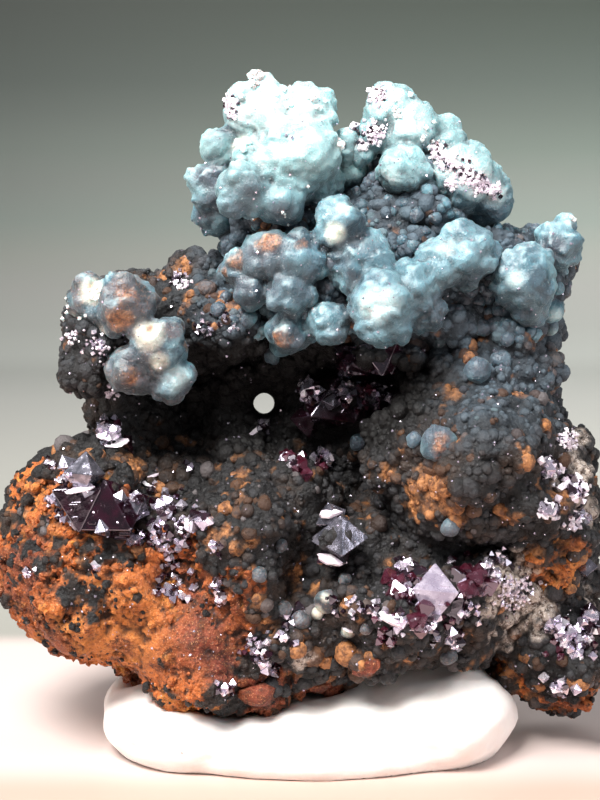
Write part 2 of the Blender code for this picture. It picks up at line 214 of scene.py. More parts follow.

# Blue crust that is nearly white: partly its own pale colour, partly painted highlight where
# the key light falls.
PALE_AND_HIGHLIT_LUMPS = table(
    Patch, (268, 96, 30, 0.75), (302, 108, 20, 0.75), (238, 105, 14, 0.8),
    (312, 137, 8, 0.7), (296, 146, 8, 0.7), (280, 152, 8, 0.7), (262, 157, 7, 0.7),
    (374, 306, 13), (388, 302, 10, 0.8), (345, 208, 7, 0.9), (335, 234, 8, 0.7),
    (385, 98, 14, 0.85), (410, 120, 16, 0.6), (390, 176, 8, 0.8), (378, 133, 9, 0.8),
    (555, 316, 8, 0.8), (552, 335, 7, 0.8), (444, 161, 12, 0.9), (462, 170, 13, 0.9),
    (480, 182, 13, 0.9), (497, 192, 10, 0.9), (444, 247, 8, 0.7), (516, 278, 7, 0.7),
    (570, 220, 6, 0.8), (176, 378, 11, 0.6), (92, 291, 8, 0.8),
)

# Single waxy lumps on the black crust.
LONE_LUMPS = table(
    Patch, (438, 446, 19), (450, 526, 9), (482, 327, 9), (274, 356, 9), (282, 340, 14),
    (551, 308, 13), (549, 326, 8), (476, 371, 13), (500, 362, 10), (415, 440, 8),
    (358, 442, 8), (335, 148, 8), (350, 190, 7), (300, 228, 8), (318, 238, 9),
    (360, 250, 8), (392, 250, 8), (410, 268, 9), (330, 262, 9), (415, 215, 8),
    (470, 290, 8), (560, 268, 8), (218, 310, 8), (246, 318, 10), (226, 272, 11),
    (204, 250, 7), (328, 601, 12), (301, 621, 10), (318, 614, 7), (348, 630, 8),
    (365, 627, 7), (345, 580, 7), (280, 545, 7), (258, 574, 8), (284, 610, 8),
    (448, 655, 9),
)

# Cream places of the blue crust.
CREAM_LUMPS = table(
    Patch, (243, 147, 9), (335, 232, 9, 0.9), (339, 143, 8, 0.8), (92, 291, 11, 0.9),
    (149, 335, 13, 0.8), (100, 335, 9, 0.5), (160, 360, 8, 0.6), (75, 320, 8, 0.5),
    (318, 612, 7, 0.7), (348, 628, 8, 0.8), (326, 597, 5, 0.5),
)

# Greyer places of the blue crust.
GREY_LUMPS = table(
    Patch, (265, 265, 34, 0.8), (245, 290, 20, 0.8), (300, 290, 20, 0.7),
    (130, 310, 30, 0.8), (145, 370, 24, 0.8), (250, 180, 20, 0.85), (208, 176, 20, 0.9),
    (212, 205, 20, 0.9), (222, 138, 15, 0.8), (240, 210, 14, 0.8), (282, 213, 12, 0.8),
    (310, 205, 8, 0.7), (405, 290, 12, 0.4), (475, 252, 8, 0.6), (555, 248, 16, 0.7),
    (290, 345, 16, 0.6), (335, 335, 12, 0.5), (520, 295, 12, 0.6), (452, 193, 14, 0.4),
    (490, 212, 12, 0.5), (435, 210, 10, 0.4), (328, 601, 14, 0.9), (303, 620, 13),
    (345, 580, 11), (280, 545, 11), (450, 526, 10, 0.8), (480, 370, 24, 0.8),
    (410, 185, 8, 0.5), (350, 245, 12, 0.5),
)

# Rust that shows through the blue crust.
RUSTY_LUMPS = table(
    Patch, (126, 296, 9, 0.5), (120, 319, 11, 0.9), (149, 331, 5, 0.9), (130, 378, 8, 0.7),
    (92, 285, 4, 0.5), (228, 207, 5, 0.8), (268, 243, 10, 0.9), (282, 338, 9, 0.9),
    (300, 245, 6, 0.5), (225, 272, 6, 0.7), (440, 443, 9, 0.8), (440, 455, 6, 0.6),
)

# Painted shadow: hollows and grooves of the rock painted black where shade falls.
PAINTED_SHADOWS = table(
    Patch, (588, 254, 10, 0.6), (578, 285, 11, 0.6), (560, 350, 12, 0.5),
    (520, 345, 16, 0.6), (480, 345, 14, 0.6), (562, 540, 14, 0.6), (575, 590, 10, 0.4),
    (520, 655, 12, 0.6), (545, 668, 12, 0.6), (235, 372, 16, 0.8), (185, 365, 14, 0.6),
    (440, 430, 6, 0.4), (440, 540, 17), (475, 545, 17), (510, 543, 14), (540, 528, 12),
    (385, 520, 9, 0.8), (365, 575, 9, 0.8), (410, 570, 8, 0.7), (300, 500, 8, 0.5),
    (330, 590, 7, 0.6), (285, 640, 7, 0.7), (240, 640, 7, 0.6), (505, 650, 8, 0.7),
    (375, 180, 8, 0.5), (400, 225, 8, 0.4), (215, 235, 12, 0.7), (120, 395, 9, 0.6),
)

# Grainy pale rock, along the broken right edge.
DUSTY = table(
    Patch, (566, 425, 17), (568, 445, 19), (574, 465, 19), (576, 490, 17), (585, 512, 15),
    (552, 480, 12, 0.8), (506, 582, 26, 0.9), (526, 606, 26, 0.9), (505, 622, 22, 0.8),
    (492, 600, 16, 0.7), (300, 655, 12, 0.6), (325, 630, 10, 0.6), (580, 600, 12, 0.7),
)

# Gossan worn smooth.
SMOOTH = table(
    Patch, (140, 650, 46), (190, 640, 34), (155, 590, 26), (100, 645, 26), (215, 675, 24),
    (62, 652, 26), (28, 632, 18), (105, 676, 20), (10, 600, 10, 0.7),
)

# Crust that is grey and brown instead of blue.
STONE = table(
    Patch, (125, 384, 26), (100, 332, 18, 0.9), (122, 345, 14, 0.9), (92, 318, 12, 0.7),
    (140, 312, 18, 0.85), (152, 356, 12, 0.8), (104, 300, 10, 0.6),
)

# Places of the grey and brown crust that stay blue.
STILL_BLUE = table(
    Patch, (178, 380, 16), (150, 285, 9), (108, 280, 8), (185, 365, 9),
)

# Gossan that is dark red.
RUDDY = table(
    Patch, (205, 640, 38, 0.9), (225, 670, 26), (264, 692, 36), (190, 600, 16, 0.7),
    (163, 490, 14, 0.9), (30, 560, 34, 0.8), (50, 640, 26, 0.7), (8, 590, 24, 0.8),
    (95, 675, 14, 0.7), (140, 695, 14, 0.6), (175, 560, 14, 0.6), (318, 688, 28),
    (366, 668, 28), (345, 652, 18, 0.7),
)

# Gossan that is yellow-brown.
GOLDEN = table(
    Patch, (110, 628, 50, 0.8), (40, 488, 24, 0.8), (95, 575, 14, 0.5), (508, 676, 10, 0.6),
    (570, 572, 24, 0.9), (53, 527, 9, 0.8), (130, 465, 16, 0.8), (530, 557, 12, 0.8),
)

# Broken blocks of gossan.
BLOCKS = table(
    Patch, (264, 694, 22), (318, 687, 16), (366, 668, 18), (215, 672, 12), (568, 560, 15),
    (531, 557, 11), (345, 650, 9),
)

# Pale plates on the rock and in the hollow.
PLATES = table(
    Plate, (79, 489, 26, 3, (35, -14, 0)), (154, 475, 14, 2.5, (20, -12, 10)),
    (148, 484, 13, 2.5, (25, 20, -10)), (331, 513, 20, 7, (35, -8, 10)),
    (333, 559, 36, 8, (35, 14, 0)), (318, 612, 14, 4, (30, -20, 20)),
    (350, 630, 14, 4, (20, 15, 0)), (392, 618, 34, 8, (40, 22, 0)),
    (415, 628, 16, 3, (35, -15, 10)), (575, 490, 26, 8, (30, 12, -20)),
    (108, 436, 20, 3, (45, 3, 0)), (117, 443, 24, 3, (40, -4, 0)),
    (256, 431, 18, 6, (30, -35, 10)), (306, 392, 18, 5, (40, -35, -10)),
)

# Clusters of silvery octahedra, with darker ones among them.
DRUSES = table(
    Druse, (170, 520, 24, 34, 4, 12), (158, 530, 9, 6, 10, 16), (158, 506, 6, 3, 12, 18),
    (190, 522, 5, 3, 12, 18), (205, 521, 8, 3, 10, 16), (136, 500, 6, 4, 8, 13),
    (50, 500, 6, 8, 4, 8), (52, 465, 6, 8, 4, 8), (188, 468, 5, 2, 6, 9),
    (136, 540, 7, 4, 8, 13), (178, 543, 9, 6, 6, 11), (215, 548, 7, 3, 6, 10),
    (216, 583, 8, 5, 7, 12), (175, 590, 20, 22, 4, 11), (173, 562, 8, 5, 5, 9),
    (222, 600, 8, 5, 8, 12), (262, 655, 12, 12, 6, 12), (272, 670, 6, 4, 8, 12),
    (251, 637, 5, 3, 5, 8), (64, 478, 7, 10, 4, 8), (62, 515, 7, 6, 5, 9),
    (98, 566, 4, 2, 8, 11), (30, 571, 6, 4, 5, 9), (500, 562, 16, 16, 4, 10),
    (486, 568, 8, 5, 7, 13), (404, 566, 10, 6, 6, 13), (513, 591, 18, 50, 2, 5),
    (566, 440, 8, 30, 2, 4), (551, 470, 8, 8, 8, 15), (574, 488, 9, 9, 9, 18),
    (549, 508, 8, 7, 8, 15), (578, 515, 9, 10, 4, 9), (576, 642, 18, 26, 5, 13),
    (556, 628, 10, 10, 7, 13), (590, 618, 8, 5, 9, 16), (559, 688, 10, 14, 6, 12),
    (455, 640, 10, 8, 8, 14), (396, 620, 12, 7, 6, 11), (430, 625, 16, 8, 6, 12),
    (300, 618, 12, 8, 7, 13), (327, 603, 8, 4, 8, 14), (285, 632, 14, 7, 4, 9),
    (350, 610, 14, 7, 4, 8), (470, 612, 14, 12, 4, 9), (410, 590, 10, 4, 7, 12),
    (375, 612, 10, 6, 5, 9), (228, 690, 12, 6, 6, 10), (108, 428, 12, 10, 5, 11),
    (380, 393, 12, 10, 6, 12), (308, 392, 12, 8, 6, 12), (345, 388, 12, 6, 6, 10),
    (262, 424, 7, 5, 6, 11), (288, 458, 8, 6, 6, 11), (325, 458, 10, 8, 6, 11),
    (178, 276, 10, 10, 2, 6), (205, 330, 12, 12, 2, 6), (230, 322, 10, 10, 2, 6),
    (100, 345, 14, 12, 2, 6),
)

# Clusters of dark red octahedra.
RED_DRUSES = table(
    Druse, (288, 458, 10, 9, 6, 12), (322, 460, 13, 9, 5, 10), (394, 594, 10, 6, 17, 26),
    (476, 584, 12, 6, 17, 27), (420, 622, 12, 5, 14, 22), (404, 582, 14, 8, 8, 15),
    (466, 568, 12, 6, 7, 13), (440, 612, 18, 8, 6, 12), (388, 640, 10, 5, 8, 14),
    (300, 470, 12, 5, 10, 17), (390, 625, 12, 6, 6, 11), (365, 400, 20, 10, 6, 12),
    (560, 650, 14, 8, 6, 12), (250, 650, 12, 6, 5, 9), (165, 540, 20, 10, 5, 10),
)

# Clusters of small points on the blue crust.
TIPS = table(
    Druse, (258, 78, 3, 5, 9, 15), (262, 76, 4, 5, 5, 9), (255, 88, 8, 8, 4, 7),
    (285, 92, 12, 10, 3, 7), (318, 100, 9, 8, 4, 7), (243, 146, 4, 3, 7, 10),
    (400, 105, 12, 8, 3, 7), (425, 140, 12, 8, 3, 6), (339, 143, 5, 4, 5, 8),
    (280, 226, 26, 8, 2, 4), (572, 218, 4, 3, 4, 6), (92, 290, 10, 6, 3, 6),
    (70, 312, 12, 8, 3, 6),
)

# Crystals on the broken bands of the caps.
CAP_BANDS = table(
    Druse, (230, 100, 8, 34, 3, 6), (232, 114, 5, 16, 3, 5), (378, 95, 9, 34, 3, 6),
    (374, 132, 10, 60, 2, 6), (362, 146, 4, 10, 4, 8), (356, 128, 3, 6, 8, 13),
    (438, 153, 8, 34, 2, 6), (452, 162, 9, 44, 2, 6), (466, 174, 9, 50, 2, 6),
    (481, 184, 9, 50, 2, 6), (494, 190, 7, 30, 2, 6),
)

# Crystals painted pink and white, broken cuprite with painted glints: the bands and the right
# edge.
GLINTING_DRUSES = CAP_BANDS + table(
    Druse, (452, 184, 7, 20, 2, 5),
    (575, 488, 12, 30, 4, 12), (551, 470, 10, 26, 4, 11), (549, 508, 9, 22, 4, 10),
    (568, 440, 9, 60, 2, 5), (575, 520, 9, 14, 3, 8), (513, 590, 18, 60, 2, 5),
    (485, 567, 7, 8, 5, 10), (575, 640, 16, 26, 4, 10), (72, 335, 12, 14, 2, 5),
    (98, 348, 14, 14, 2, 5), (112, 395, 8, 10, 2, 5), (182, 282, 10, 20, 2, 5),
)


def length_property(label, words, value):
    """A length, its default given in millimetres."""
    return bpy.props.FloatProperty(
        name=label, description=words, default=value * MM, unit="LENGTH", precision=6
    )


def colour_property(label, words, value):
    """A colour, chosen from a palette."""
    return bpy.props.FloatVectorProperty(
        name=label, description=words, default=value,
        subtype="COLOR", size=3, min=0.0, max=1.0,
    )


class CupriteSurfaces(bpy.types.PropertyGroup):
    """Sizes of the surfaces"""

    skin_step: length_property("Skin step", "Spacing of the rock's points", 0.215)
    crust_step: length_property("Crust step", "Spacing of the blue crust's points", 0.135)
    grape: length_property("Grape size", "Largest lump of the black crust", 0.85)
    bead: length_property("Bead size", "Usual bead on the black crust", 0.34)
    specks: bpy.props.IntProperty(
        name="Specks", description="How many specks of crystal are tried", default=900
    )


class CupriteColours(bpy.types.PropertyGroup):
    """Colours of the specimen and the stage"""

    wax: colour_property("Blue crust", "Colour of the waxy crust", (0.085, 0.185, 0.230))
    black: colour_property("Black crust", "Colour of the black crust", (0.010, 0.0095, 0.010))
    orange: colour_property("Gossan", "Colour of the bright gossan", (0.50, 0.134, 0.030))
    crystal: colour_property("Cuprite", "Colour inside the crystals", (0.008, 0.003, 0.005))
    putty: colour_property("Putty", "Colour of the putty", (0.86, 0.82, 0.79))
    floor: colour_property("Floor", "Colour of the floor", (0.60, 0.50, 0.47))


def surface(name):
    """A size of the surfaces in millimetres, by its name."""
    return getattr(bpy.context.scene.cuprite_surfaces, name) / MM


def tint(name):
    """A colour of the specimen or the stage, by its name."""
    return tuple(getattr(bpy.context.scene.cuprite_colours, name))


# Meshes


def linked(name, data):
    """A new object of the scene with this mesh, light or camera."""
    made = bpy.data.objects.new(name, data)
    bpy.context.scene.collection.objects.link(made)
    return made


def object_from(bm, name):
    """A new object with the mesh that has been built."""
    mesh = bpy.data.meshes.new(name)
    bm.to_mesh(mesh)
    bm.free()
    return linked(name, mesh)


def mesh_from(name, points, triangles):
    """A mesh of triangles, its points in millimetres."""
    mesh = bpy.data.meshes.new(name)
    mesh.vertices.add(len(points))
    mesh.vertices.foreach_set("co", (points * MM).astype(np.float32).ravel())
    mesh.loops.add(triangles.size)
    mesh.loops.foreach_set("vertex_index", triangles.astype(np.int32).ravel())
    mesh.polygons.add(len(triangles))
    mesh.polygons.foreach_set("loop_start", np.arange(0, triangles.size, 3, dtype=np.int32))
    mesh.update(calc_edges=True)
    return mesh


def settle(made):
    """Gives the object the mesh that its modifiers make."""
    bpy.context.view_layer.update()
    shown = made.evaluated_get(bpy.context.evaluated_depsgraph_get())
    mesh = bpy.data.meshes.new_from_object(shown)
    old = made.data
    made.modifiers.clear()
    made.data = mesh
    name = old.name
    bpy.data.meshes.remove(old)
    mesh.name = name
    return mesh


def melt(made, step, smooth_steps):
    """One even skin round overlapping shapes, then softened."""
    remesh = made.modifiers.new("skin", "REMESH")
    remesh.mode = "VOXEL"
    remesh.voxel_size = step * MM
    if smooth_steps:
        smooth = made.modifiers.new("soften", "SMOOTH")
        smooth.factor = 0.5
        smooth.iterations = smooth_steps
    settle(made)


def places(mesh):
    """The mesh's points, in millimetres."""
    found = np.empty(len(mesh.vertices) * 3, dtype=np.float32)
    mesh.vertices.foreach_get("co", found)
    return found.reshape(-1, 3).astype(np.float64) / MM


def ways(mesh):
    """The mesh's outward direction at each point."""
    found = np.empty(len(mesh.vertices) * 3, dtype=np.float32)
    mesh.vertex_normals.foreach_get("vector", found)
    return found.reshape(-1, 3).astype(np.float64)


def triangles_of(mesh):
    """The three points of each triangle of the mesh."""
    mesh.calc_loop_triangles()
    found = np.empty(len(mesh.loop_triangles) * 3, dtype=np.int32)
    mesh.loop_triangles.foreach_get("vertices", found)
    return found.reshape(-1, 3)


def move(mesh, points):
    """Puts the mesh's points at these places, in millimetres."""
    mesh.vertices.foreach_set("co", (points * MM).astype(np.float32).ravel())
    mesh.update()


def mark(mesh, name, values):
    """Keeps a number for each point, which the material reads by this name."""
    layer = mesh.attributes.new(name, "FLOAT", "POINT")
    layer.data.foreach_set("value", np.asarray(values, dtype=np.float32))


def evened(mesh, values, steps):
    """The values, each brought towards those of the points joined to its point."""
    ends = np.empty(len(mesh.edges) * 2, dtype=np.int32)
    mesh.edges.foreach_get("vertices", ends)
    ends = np.concatenate([ends.reshape(-1, 2), ends.reshape(-1, 2)[:, ::-1]])
    count = np.bincount(ends[:, 0], minlength=len(values))
    for _ in range(steps):
        near = [
            np.bincount(ends[:, 0], values[ends[:, 1], column], minlength=len(values)) / count
            for column in range(values.shape[1])
        ]
        values = (values + np.stack(near, axis=1)) / 2
    return values


def bulge(mesh, steps):
    """How far each point stands out from the evened skin round it."""
    points = places(mesh)
    return ((points - evened(mesh, points, steps)) * ways(mesh)).sum(axis=1)


def joined(name, shapes):
    """One mesh of many (points, triangles) shapes."""
    points, triangles, start = [], [], 0
    for shape_points, shape_triangles in shapes:
        points.append(shape_points)
        triangles.append(shape_triangles + start)
        start += len(shape_points)
    return linked(name, mesh_from(name, np.concatenate(points), np.concatenate(triangles)))


def node_shape(node, outward=0.0):
    """A solid's points and triangles, pushed outwards by so much."""
    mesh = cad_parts[node].data
    points, triangles = places(mesh), triangles_of(mesh)
    _, first, index = np.unique(
        np.round(points, 3), axis=0, return_index=True, return_inverse=True
    )
    points, triangles = points[first], index.reshape(-1)[triangles]
    if outward:
        whole = mesh_from(node + "_whole", points, triangles)
        points = points + ways(whole) * outward
        bpy.data.meshes.remove(whole)
    return points, triangles


def shape_of(bm):
    """The points and triangles of a shape about one unit in size."""
    mesh = bpy.data.meshes.new("shape")
    bm.to_mesh(mesh)
    bm.free()
    shape = places(mesh) * MM, triangles_of(mesh)
    bpy.data.meshes.remove(mesh)
    return shape


def ball_shape(detail):
    """A ball of radius 1: its points and triangles."""
    bm = bmesh.new()
    bmesh.ops.create_icosphere(bm, subdivisions=detail, radius=1.0)
    return shape_of(bm)


def strew(points, out, spacing, seed):
    """Some of the points, about this far apart, with the way out at each."""
    rng = np.random.default_rng(seed)
    order = rng.permutation(len(points))
    cells = np.floor(points[order] / spacing + rng.uniform(0, 1, 3)).astype(np.int64)
    _, first = np.unique(cells, axis=0, return_index=True)
    kept = order[np.sort(first)]
    return points[kept], out[kept]


def roughen(mesh, size, seed, octaves, depth):
    """Moves the points in and out by cloudy noise, and says where they are now."""
    points = places(mesh)
    points = points + ways(mesh) * (cloud(points, size, seed, octaves) * depth)[:, None]
    move(mesh, points)
    return points


def turned(angles):
    """The turn by three angles in degrees, for points to be multiplied by."""
    return np.array(Euler([math.radians(angle) for angle in angles]).to_matrix()).T


def any_turn(rng, most=math.pi):
    """A turn at random, for points to be multiplied by."""
    return np.array(Euler([rng.uniform(0.0, most) for _ in range(3)]).to_matrix()).T


def lattice(cells, seed):
    """A number from 0 to 1 known by a whole-numbered place."""
    x, y, z = (cells[:, axis].astype(np.uint32) for axis in range(3))
    mixed = x * np.uint32(374761393) ^ y * np.uint32(668265263) ^ z * np.uint32(2246822519)
    mixed ^= np.uint32(seed * 40503 + 977)
    mixed = (mixed ^ (mixed >> np.uint32(15))) * np.uint32(2654435761)
    mixed = (mixed ^ (mixed >> np.uint32(13))) * np.uint32(3266489917)
    return (mixed ^ (mixed >> np.uint32(16))) / 4294967296.0


def cloud(points, size, seed, octaves=2):
    """Cloudy noise about 0 at each point, seldom beyond 1."""
    total = np.zeros(len(points))
    weight = 1.0
    for octave in range(octaves):
        place = points / size * 2**octave + seed * 0.37
        low = np.floor(place)
        part = place - low
        part = part**3 * (part * (part * 6 - 15) + 10)
        low = low.astype(np.int64)
        for corner in itertools.product((0, 1), repeat=3):
            share = np.ones(len(points))
            for axis, far in enumerate(corner):
                share *= part[:, axis] if far else 1 - part[:, axis]
            total += share * (lattice(low + np.array(corner), seed + octave) * 2 - 1) * weight
        weight /= 2
    return total * 1.3


def balls(points, size, seed, small, large):
    """How high the tallest of many scattered balls stands over each point, in units
    of the size, with a number that the ball is known by."""
    place = points / size
    low = np.floor(place).astype(np.int64)
    best, known = np.zeros(len(points)), np.zeros(len(points))
    for step in itertools.product((-1, 0, 1), repeat=3):
        cell = low + np.array(step)
        radius = small + (large - small) * lattice(cell, seed + 3)
        rest = radius**2
        for axis in range(3):
            rest -= (place[:, axis] - cell[:, axis] - lattice(cell, seed + axis)) ** 2
        higher = rest > best
        best[higher] = rest[higher]
        known[higher] = lattice(cell, seed + 4)[higher]
    return np.sqrt(best), known


def flakes(points, size, seed):
    """Broken ground: each point takes the height of a tilted plane of its nearest seed."""
    place = points / size
    low = np.floor(place).astype(np.int64)
    nearest = np.full(len(points), 9.0)
    height = np.zeros(len(points))
    for step in itertools.product((-1, 0, 1), repeat=3):
        cell = low + np.array(step)
        away = [
            place[:, axis] - cell[:, axis] - lattice(cell, seed + axis) for axis in range(3)
        ]
        distance = away[0] ** 2 + away[1] ** 2 + away[2] ** 2
        tilted = lattice(cell, seed + 3) - 0.5
        for axis in range(3):
            tilted += away[axis] * (lattice(cell, seed + 4 + axis) * 2 - 1)
        nearer = distance < nearest
        nearest[nearer] = distance[nearer]
        height[nearer] = tilted[nearer]
    return height


def ramp(values, low, high):
    """From 0 at the low value to 1 at the high one, and level beyond them."""
    return np.clip((values - low) / (high - low), 0.0, 1.0)


# The picture's view


def eye():
    """Where the camera stands."""
    towards = Vector((0.0, -math.cos(CAMERA_ELEVATION), math.sin(CAMERA_ELEVATION)))
    return LOOK_AT + towards * CAMERA_DISTANCE


def sight_line(across, down):
    """The direction in which the camera sees a place of the picture."""
    step = SENSOR / LENS / max(PICTURE)
    right = (across - PICTURE[0] / 2) * step
    up = (PICTURE[1] / 2 - down) * step
    forward = (LOOK_AT - eye()).normalized()
    upward = Vector((1, 0, 0)).cross(forward)
    return (forward + Vector((1, 0, 0)) * right + upward * up).normalized()


def tree_of(made):
    """What the camera's sight lines are tried against."""
    bpy.context.view_layer.update()
    return BVHTree.FromObject(made, bpy.context.evaluated_depsgraph_get())


def seen_at(trees, across, down):
    """The nearest place that the camera sees there: place, way out and distance."""
    start = eye() * MM
    nearest = None
    for tree in trees:
        place, out, _, distance = tree.ray_cast(start, sight_line(across, down))
        if place is not None and (nearest is None or distance < nearest[2] * MM):
            nearest = (place / MM, out, distance / MM)
    return nearest


def pixel_size(distance):
    """How many millimetres a pixel of the picture covers at this distance."""
    return SENSOR / LENS / max(PICTURE) * distance


def seen_patches(trees, patches):
    """Each patch that the camera sees, with its place, way out and size of a pixel."""
    for patch in patches:
        seen = seen_at(trees, patch.across, patch.down)
        if seen is not None:
            yield patch, seen[0], seen[1], pixel_size(seen[2])


def shares(points, trees, patches, soft=0.35):
    """How far each point lies inside any of the patches, from 0 to 1."""
    share = np.zeros(len(points))
    for patch, place, _, pixel in seen_patches(trees, patches):
        distance = np.linalg.norm(points - np.array(place), axis=1) / (patch.radius * pixel)
        inside = np.clip((1.0 + soft - distance) / (2 * soft), 0.0, 1.0) * patch.strength
        share = np.maximum(share, inside)
    return share


# Materials


class Finish:
    """A procedural material, built from the shader backwards."""

    def __init__(self, name):
        self.material = bpy.data.materials.new(name)
        self.material.use_nodes = True
        self.tree = self.material.node_tree
        self.shader = self.tree.nodes["Principled BSDF"]
        self.place = self.node("ShaderNodeVectorMath", operation="SCALE")
        self.place.inputs["Scale"].default_value = 1.0 / MM
        coords = self.node("ShaderNodeTexCoord")
        self.link(coords.outputs["Object"], self.place.inputs[0])

    def node(self, kind, **settings):
        made = self.tree.nodes.new(kind)
        for name, value in settings.items():
            setattr(made, name, value)
        return made

    def link(self, start, end):
        self.tree.links.new(start, end)

    def put(self, value, socket):
        """Joins another node's output to the socket, or sets its number or colour."""
        if isinstance(value, bpy.types.NodeSocket):
            self.link(value, socket)
        elif isinstance(value, (tuple, list)) and len(value) == 3:
            socket.default_value = (*value, 1.0)
        else:
            socket.default_value = value

    def noise(self, size, detail=3.0, roughness=0.6, distortion=0.0):
        """Cloudy noise with clouds about this many millimetres wide."""
        made = self.node("ShaderNodeTexNoise")
        made.inputs["Scale"].default_value = 1.0 / size
        made.inputs["Detail"].default_value = detail
        made.inputs["Roughness"].default_value = roughness
        made.inputs["Distortion"].default_value = distortion
        self.link(self.place.outputs[0], made.inputs["Vector"])
        return made.outputs["Fac"]

    def cells(self, size):
        """The distance from the middle of cells about this wide."""
        made = self.node("ShaderNodeTexVoronoi")
        made.inputs["Scale"].default_value = 1.0 / size
        self.link(self.place.outputs[0], made.inputs["Vector"])
        return made.outputs["Distance"]

    def marked(self, name):
        """The number that mark() keeps for each point under this name."""
        made = self.node("ShaderNodeAttribute", attribute_name=name)
        return made.outputs["Fac"]

    def math(self, operation, first, second):
        made = self.node("ShaderNodeMath", operation=operation)
        self.put(first, made.inputs[0])
        self.put(second, made.inputs[1])
        return made.outputs[0]

    def span(self, value, low, high, new_low=0.0, new_high=1.0, kind="SMOOTHSTEP"):
        """Carries one range of numbers over to another, and stays level beyond it."""
        made = self.node("ShaderNodeMapRange", interpolation_type=kind)
        self.put(value, made.inputs["Value"])
        made.inputs["From Min"].default_value = low
        made.inputs["From Max"].default_value = high
        made.inputs["To Min"].default_value = new_low
        made.inputs["To Max"].default_value = new_high
        return made.outputs["Result"]

    def mix(self, share, first, second, blend="MIX"):
        made = self.node("ShaderNodeMix", data_type="RGBA", blend_type=blend)
        self.put(share, made.inputs["Factor"])
        self.put(first, made.inputs["A"])
        self.put(second, made.inputs["B"])
        return made.outputs["Result"]

    def layers(self, colour, *over):
        """A colour with others laid over it in turn, each by its share."""
        for share, other in over:
            colour = self.mix(share, colour, other)
        return colour

    def bump(self, height, distance, strength=1.0, before=None):
        made = self.node("ShaderNodeBump")
        made.inputs["Strength"].default_value = strength
        made.inputs["Distance"].default_value = distance * MM
        self.link(height, made.inputs["Height"])
        if before is not None:
            self.link(before, made.inputs["Normal"])
        return made.outputs["Normal"]

    def set(self, name, value):
        """Joins a value or colour to one of the shader's sockets."""
        self.put(value, self.shader.inputs[name])


def rock_finish():
    """Rust-brown gossan where bare, black to blue-grey beaded crust elsewhere."""
    finish = Finish("gossan_and_crust")
    layers, span, marked = finish.layers, finish.span, finish.marked
    patch = finish.noise(2.6, 5.0, 0.65)
    spots = finish.noise(0.9, 6.0, 0.7)
    fine = finish.noise(0.35, 6.0, 0.7)
    tiny = finish.noise(0.09, 3.0, 0.6)
    high, each, blue = marked("high"), marked("each"), marked("blue")

    golden = layers(
        (0.60, 0.210, 0.050), (span(spots, 0.52, 0.4), (0.36, 0.105, 0.030))
    )
    ruddy = layers(
        (0.21, 0.045, 0.025), (span(spots, 0.58, 0.42), (0.075, 0.018, 0.011))
    )
    rock = layers(
        tint("orange"),
        (span(patch, 0.56, 0.40), (0.20, 0.048, 0.014)),
        (span(finish.noise(1.5, 4.0), 0.54, 0.68), (0.55, 0.21, 0.035)),
        (marked("golden"), golden),
        (marked("ruddy"), ruddy),
        (span(spots, 0.43, 0.33, 0.0, 0.85), (0.030, 0.012, 0.008)),
        (span(fine, 0.48, 0.36, 0.0, 0.8), (0.060, 0.018, 0.009)),
        (span(tiny, 0.44, 0.34, 0.0, 0.5), (0.035, 0.012, 0.008)),
        (span(tiny, 0.57, 0.70, 0.0, 0.6), (0.78, 0.40, 0.20)),
    )

    hazy = layers(
        (0.048, 0.064, 0.080),
        # Painted shade: bead tops lighter, their feet darker.
        (span(high, 0.0, 1.0), (0.100, 0.142, 0.178)),
        (span(each, 0.45, 0.8, 0.0, 0.7), (0.060, 0.064, 0.082)),
        (span(each, 0.22, 0.10), (0.130, 0.195, 0.225)),
        (span(tiny, 0.62, 0.75, 0.0, 0.5), (0.30, 0.36, 0.38)),
    )
    rusty = layers(
        (0.50, 0.215, 0.080), (span(fine, 0.60, 0.38), (0.15, 0.060, 0.028))
    )
    dusty = layers(
        (0.50, 0.42, 0.36),
        (span(fine, 0.54, 0.40), (0.085, 0.052, 0.038)),
        (span(tiny, 0.56, 0.66), (0.75, 0.70, 0.68)),
    )
    crust = layers(
        tint("black"),
        # Painted shade: bead tops lighter, their feet darker.
        (span(high, 0.2, 1.0), (0.030, 0.030, 0.033)),
        (span(patch, 0.50, 0.66, 0.0, 0.7), (0.042, 0.025, 0.017)),
        (span(fine, 0.58, 0.74, 0.0, 0.5), (0.085, 0.082, 0.080)),
        (span(tiny, 0.62, 0.74, 0.0, 0.6), (0.17, 0.165, 0.16)),
        (blue, hazy),
        (span(each, 0.74, 0.80, 0.0, 0.8), (0.075, 0.035, 0.018)),
        (span(each, 0.86, 0.90, 0.0, 0.8), (0.120, 0.112, 0.118)),
        (marked("rust"), rusty),
        (marked("dusty"), dusty),
    )

    # Painted shade: darker in the creases where the skin sinks.
    deep = layers((0.006, 0.005, 0.005), (blue, (0.020, 0.028, 0.036)))
    colour = layers(
        crust,
        (marked("bare"), rock),
        (marked("deep"), deep),
        # Painted shadow: near black in the hollow and the shaded grooves.
        (marked("sooty"), (0.003, 0.0025, 0.0025)),
    )
    finish.set("Base Color", colour)
    finish.set("Specular IOR Level", 0.32)
    finish.set("Roughness", span(tiny, 0.35, 0.65, 0.34, 0.75))
    normal = finish.bump(span(finish.cells(0.22), 0.0, 0.75, 1.0, 0.0), 0.06, 0.8)
    finish.set("Normal", finish.bump(finish.noise(0.16, 6.0, 0.75), 0.08, 1.0, normal))
    return finish.material


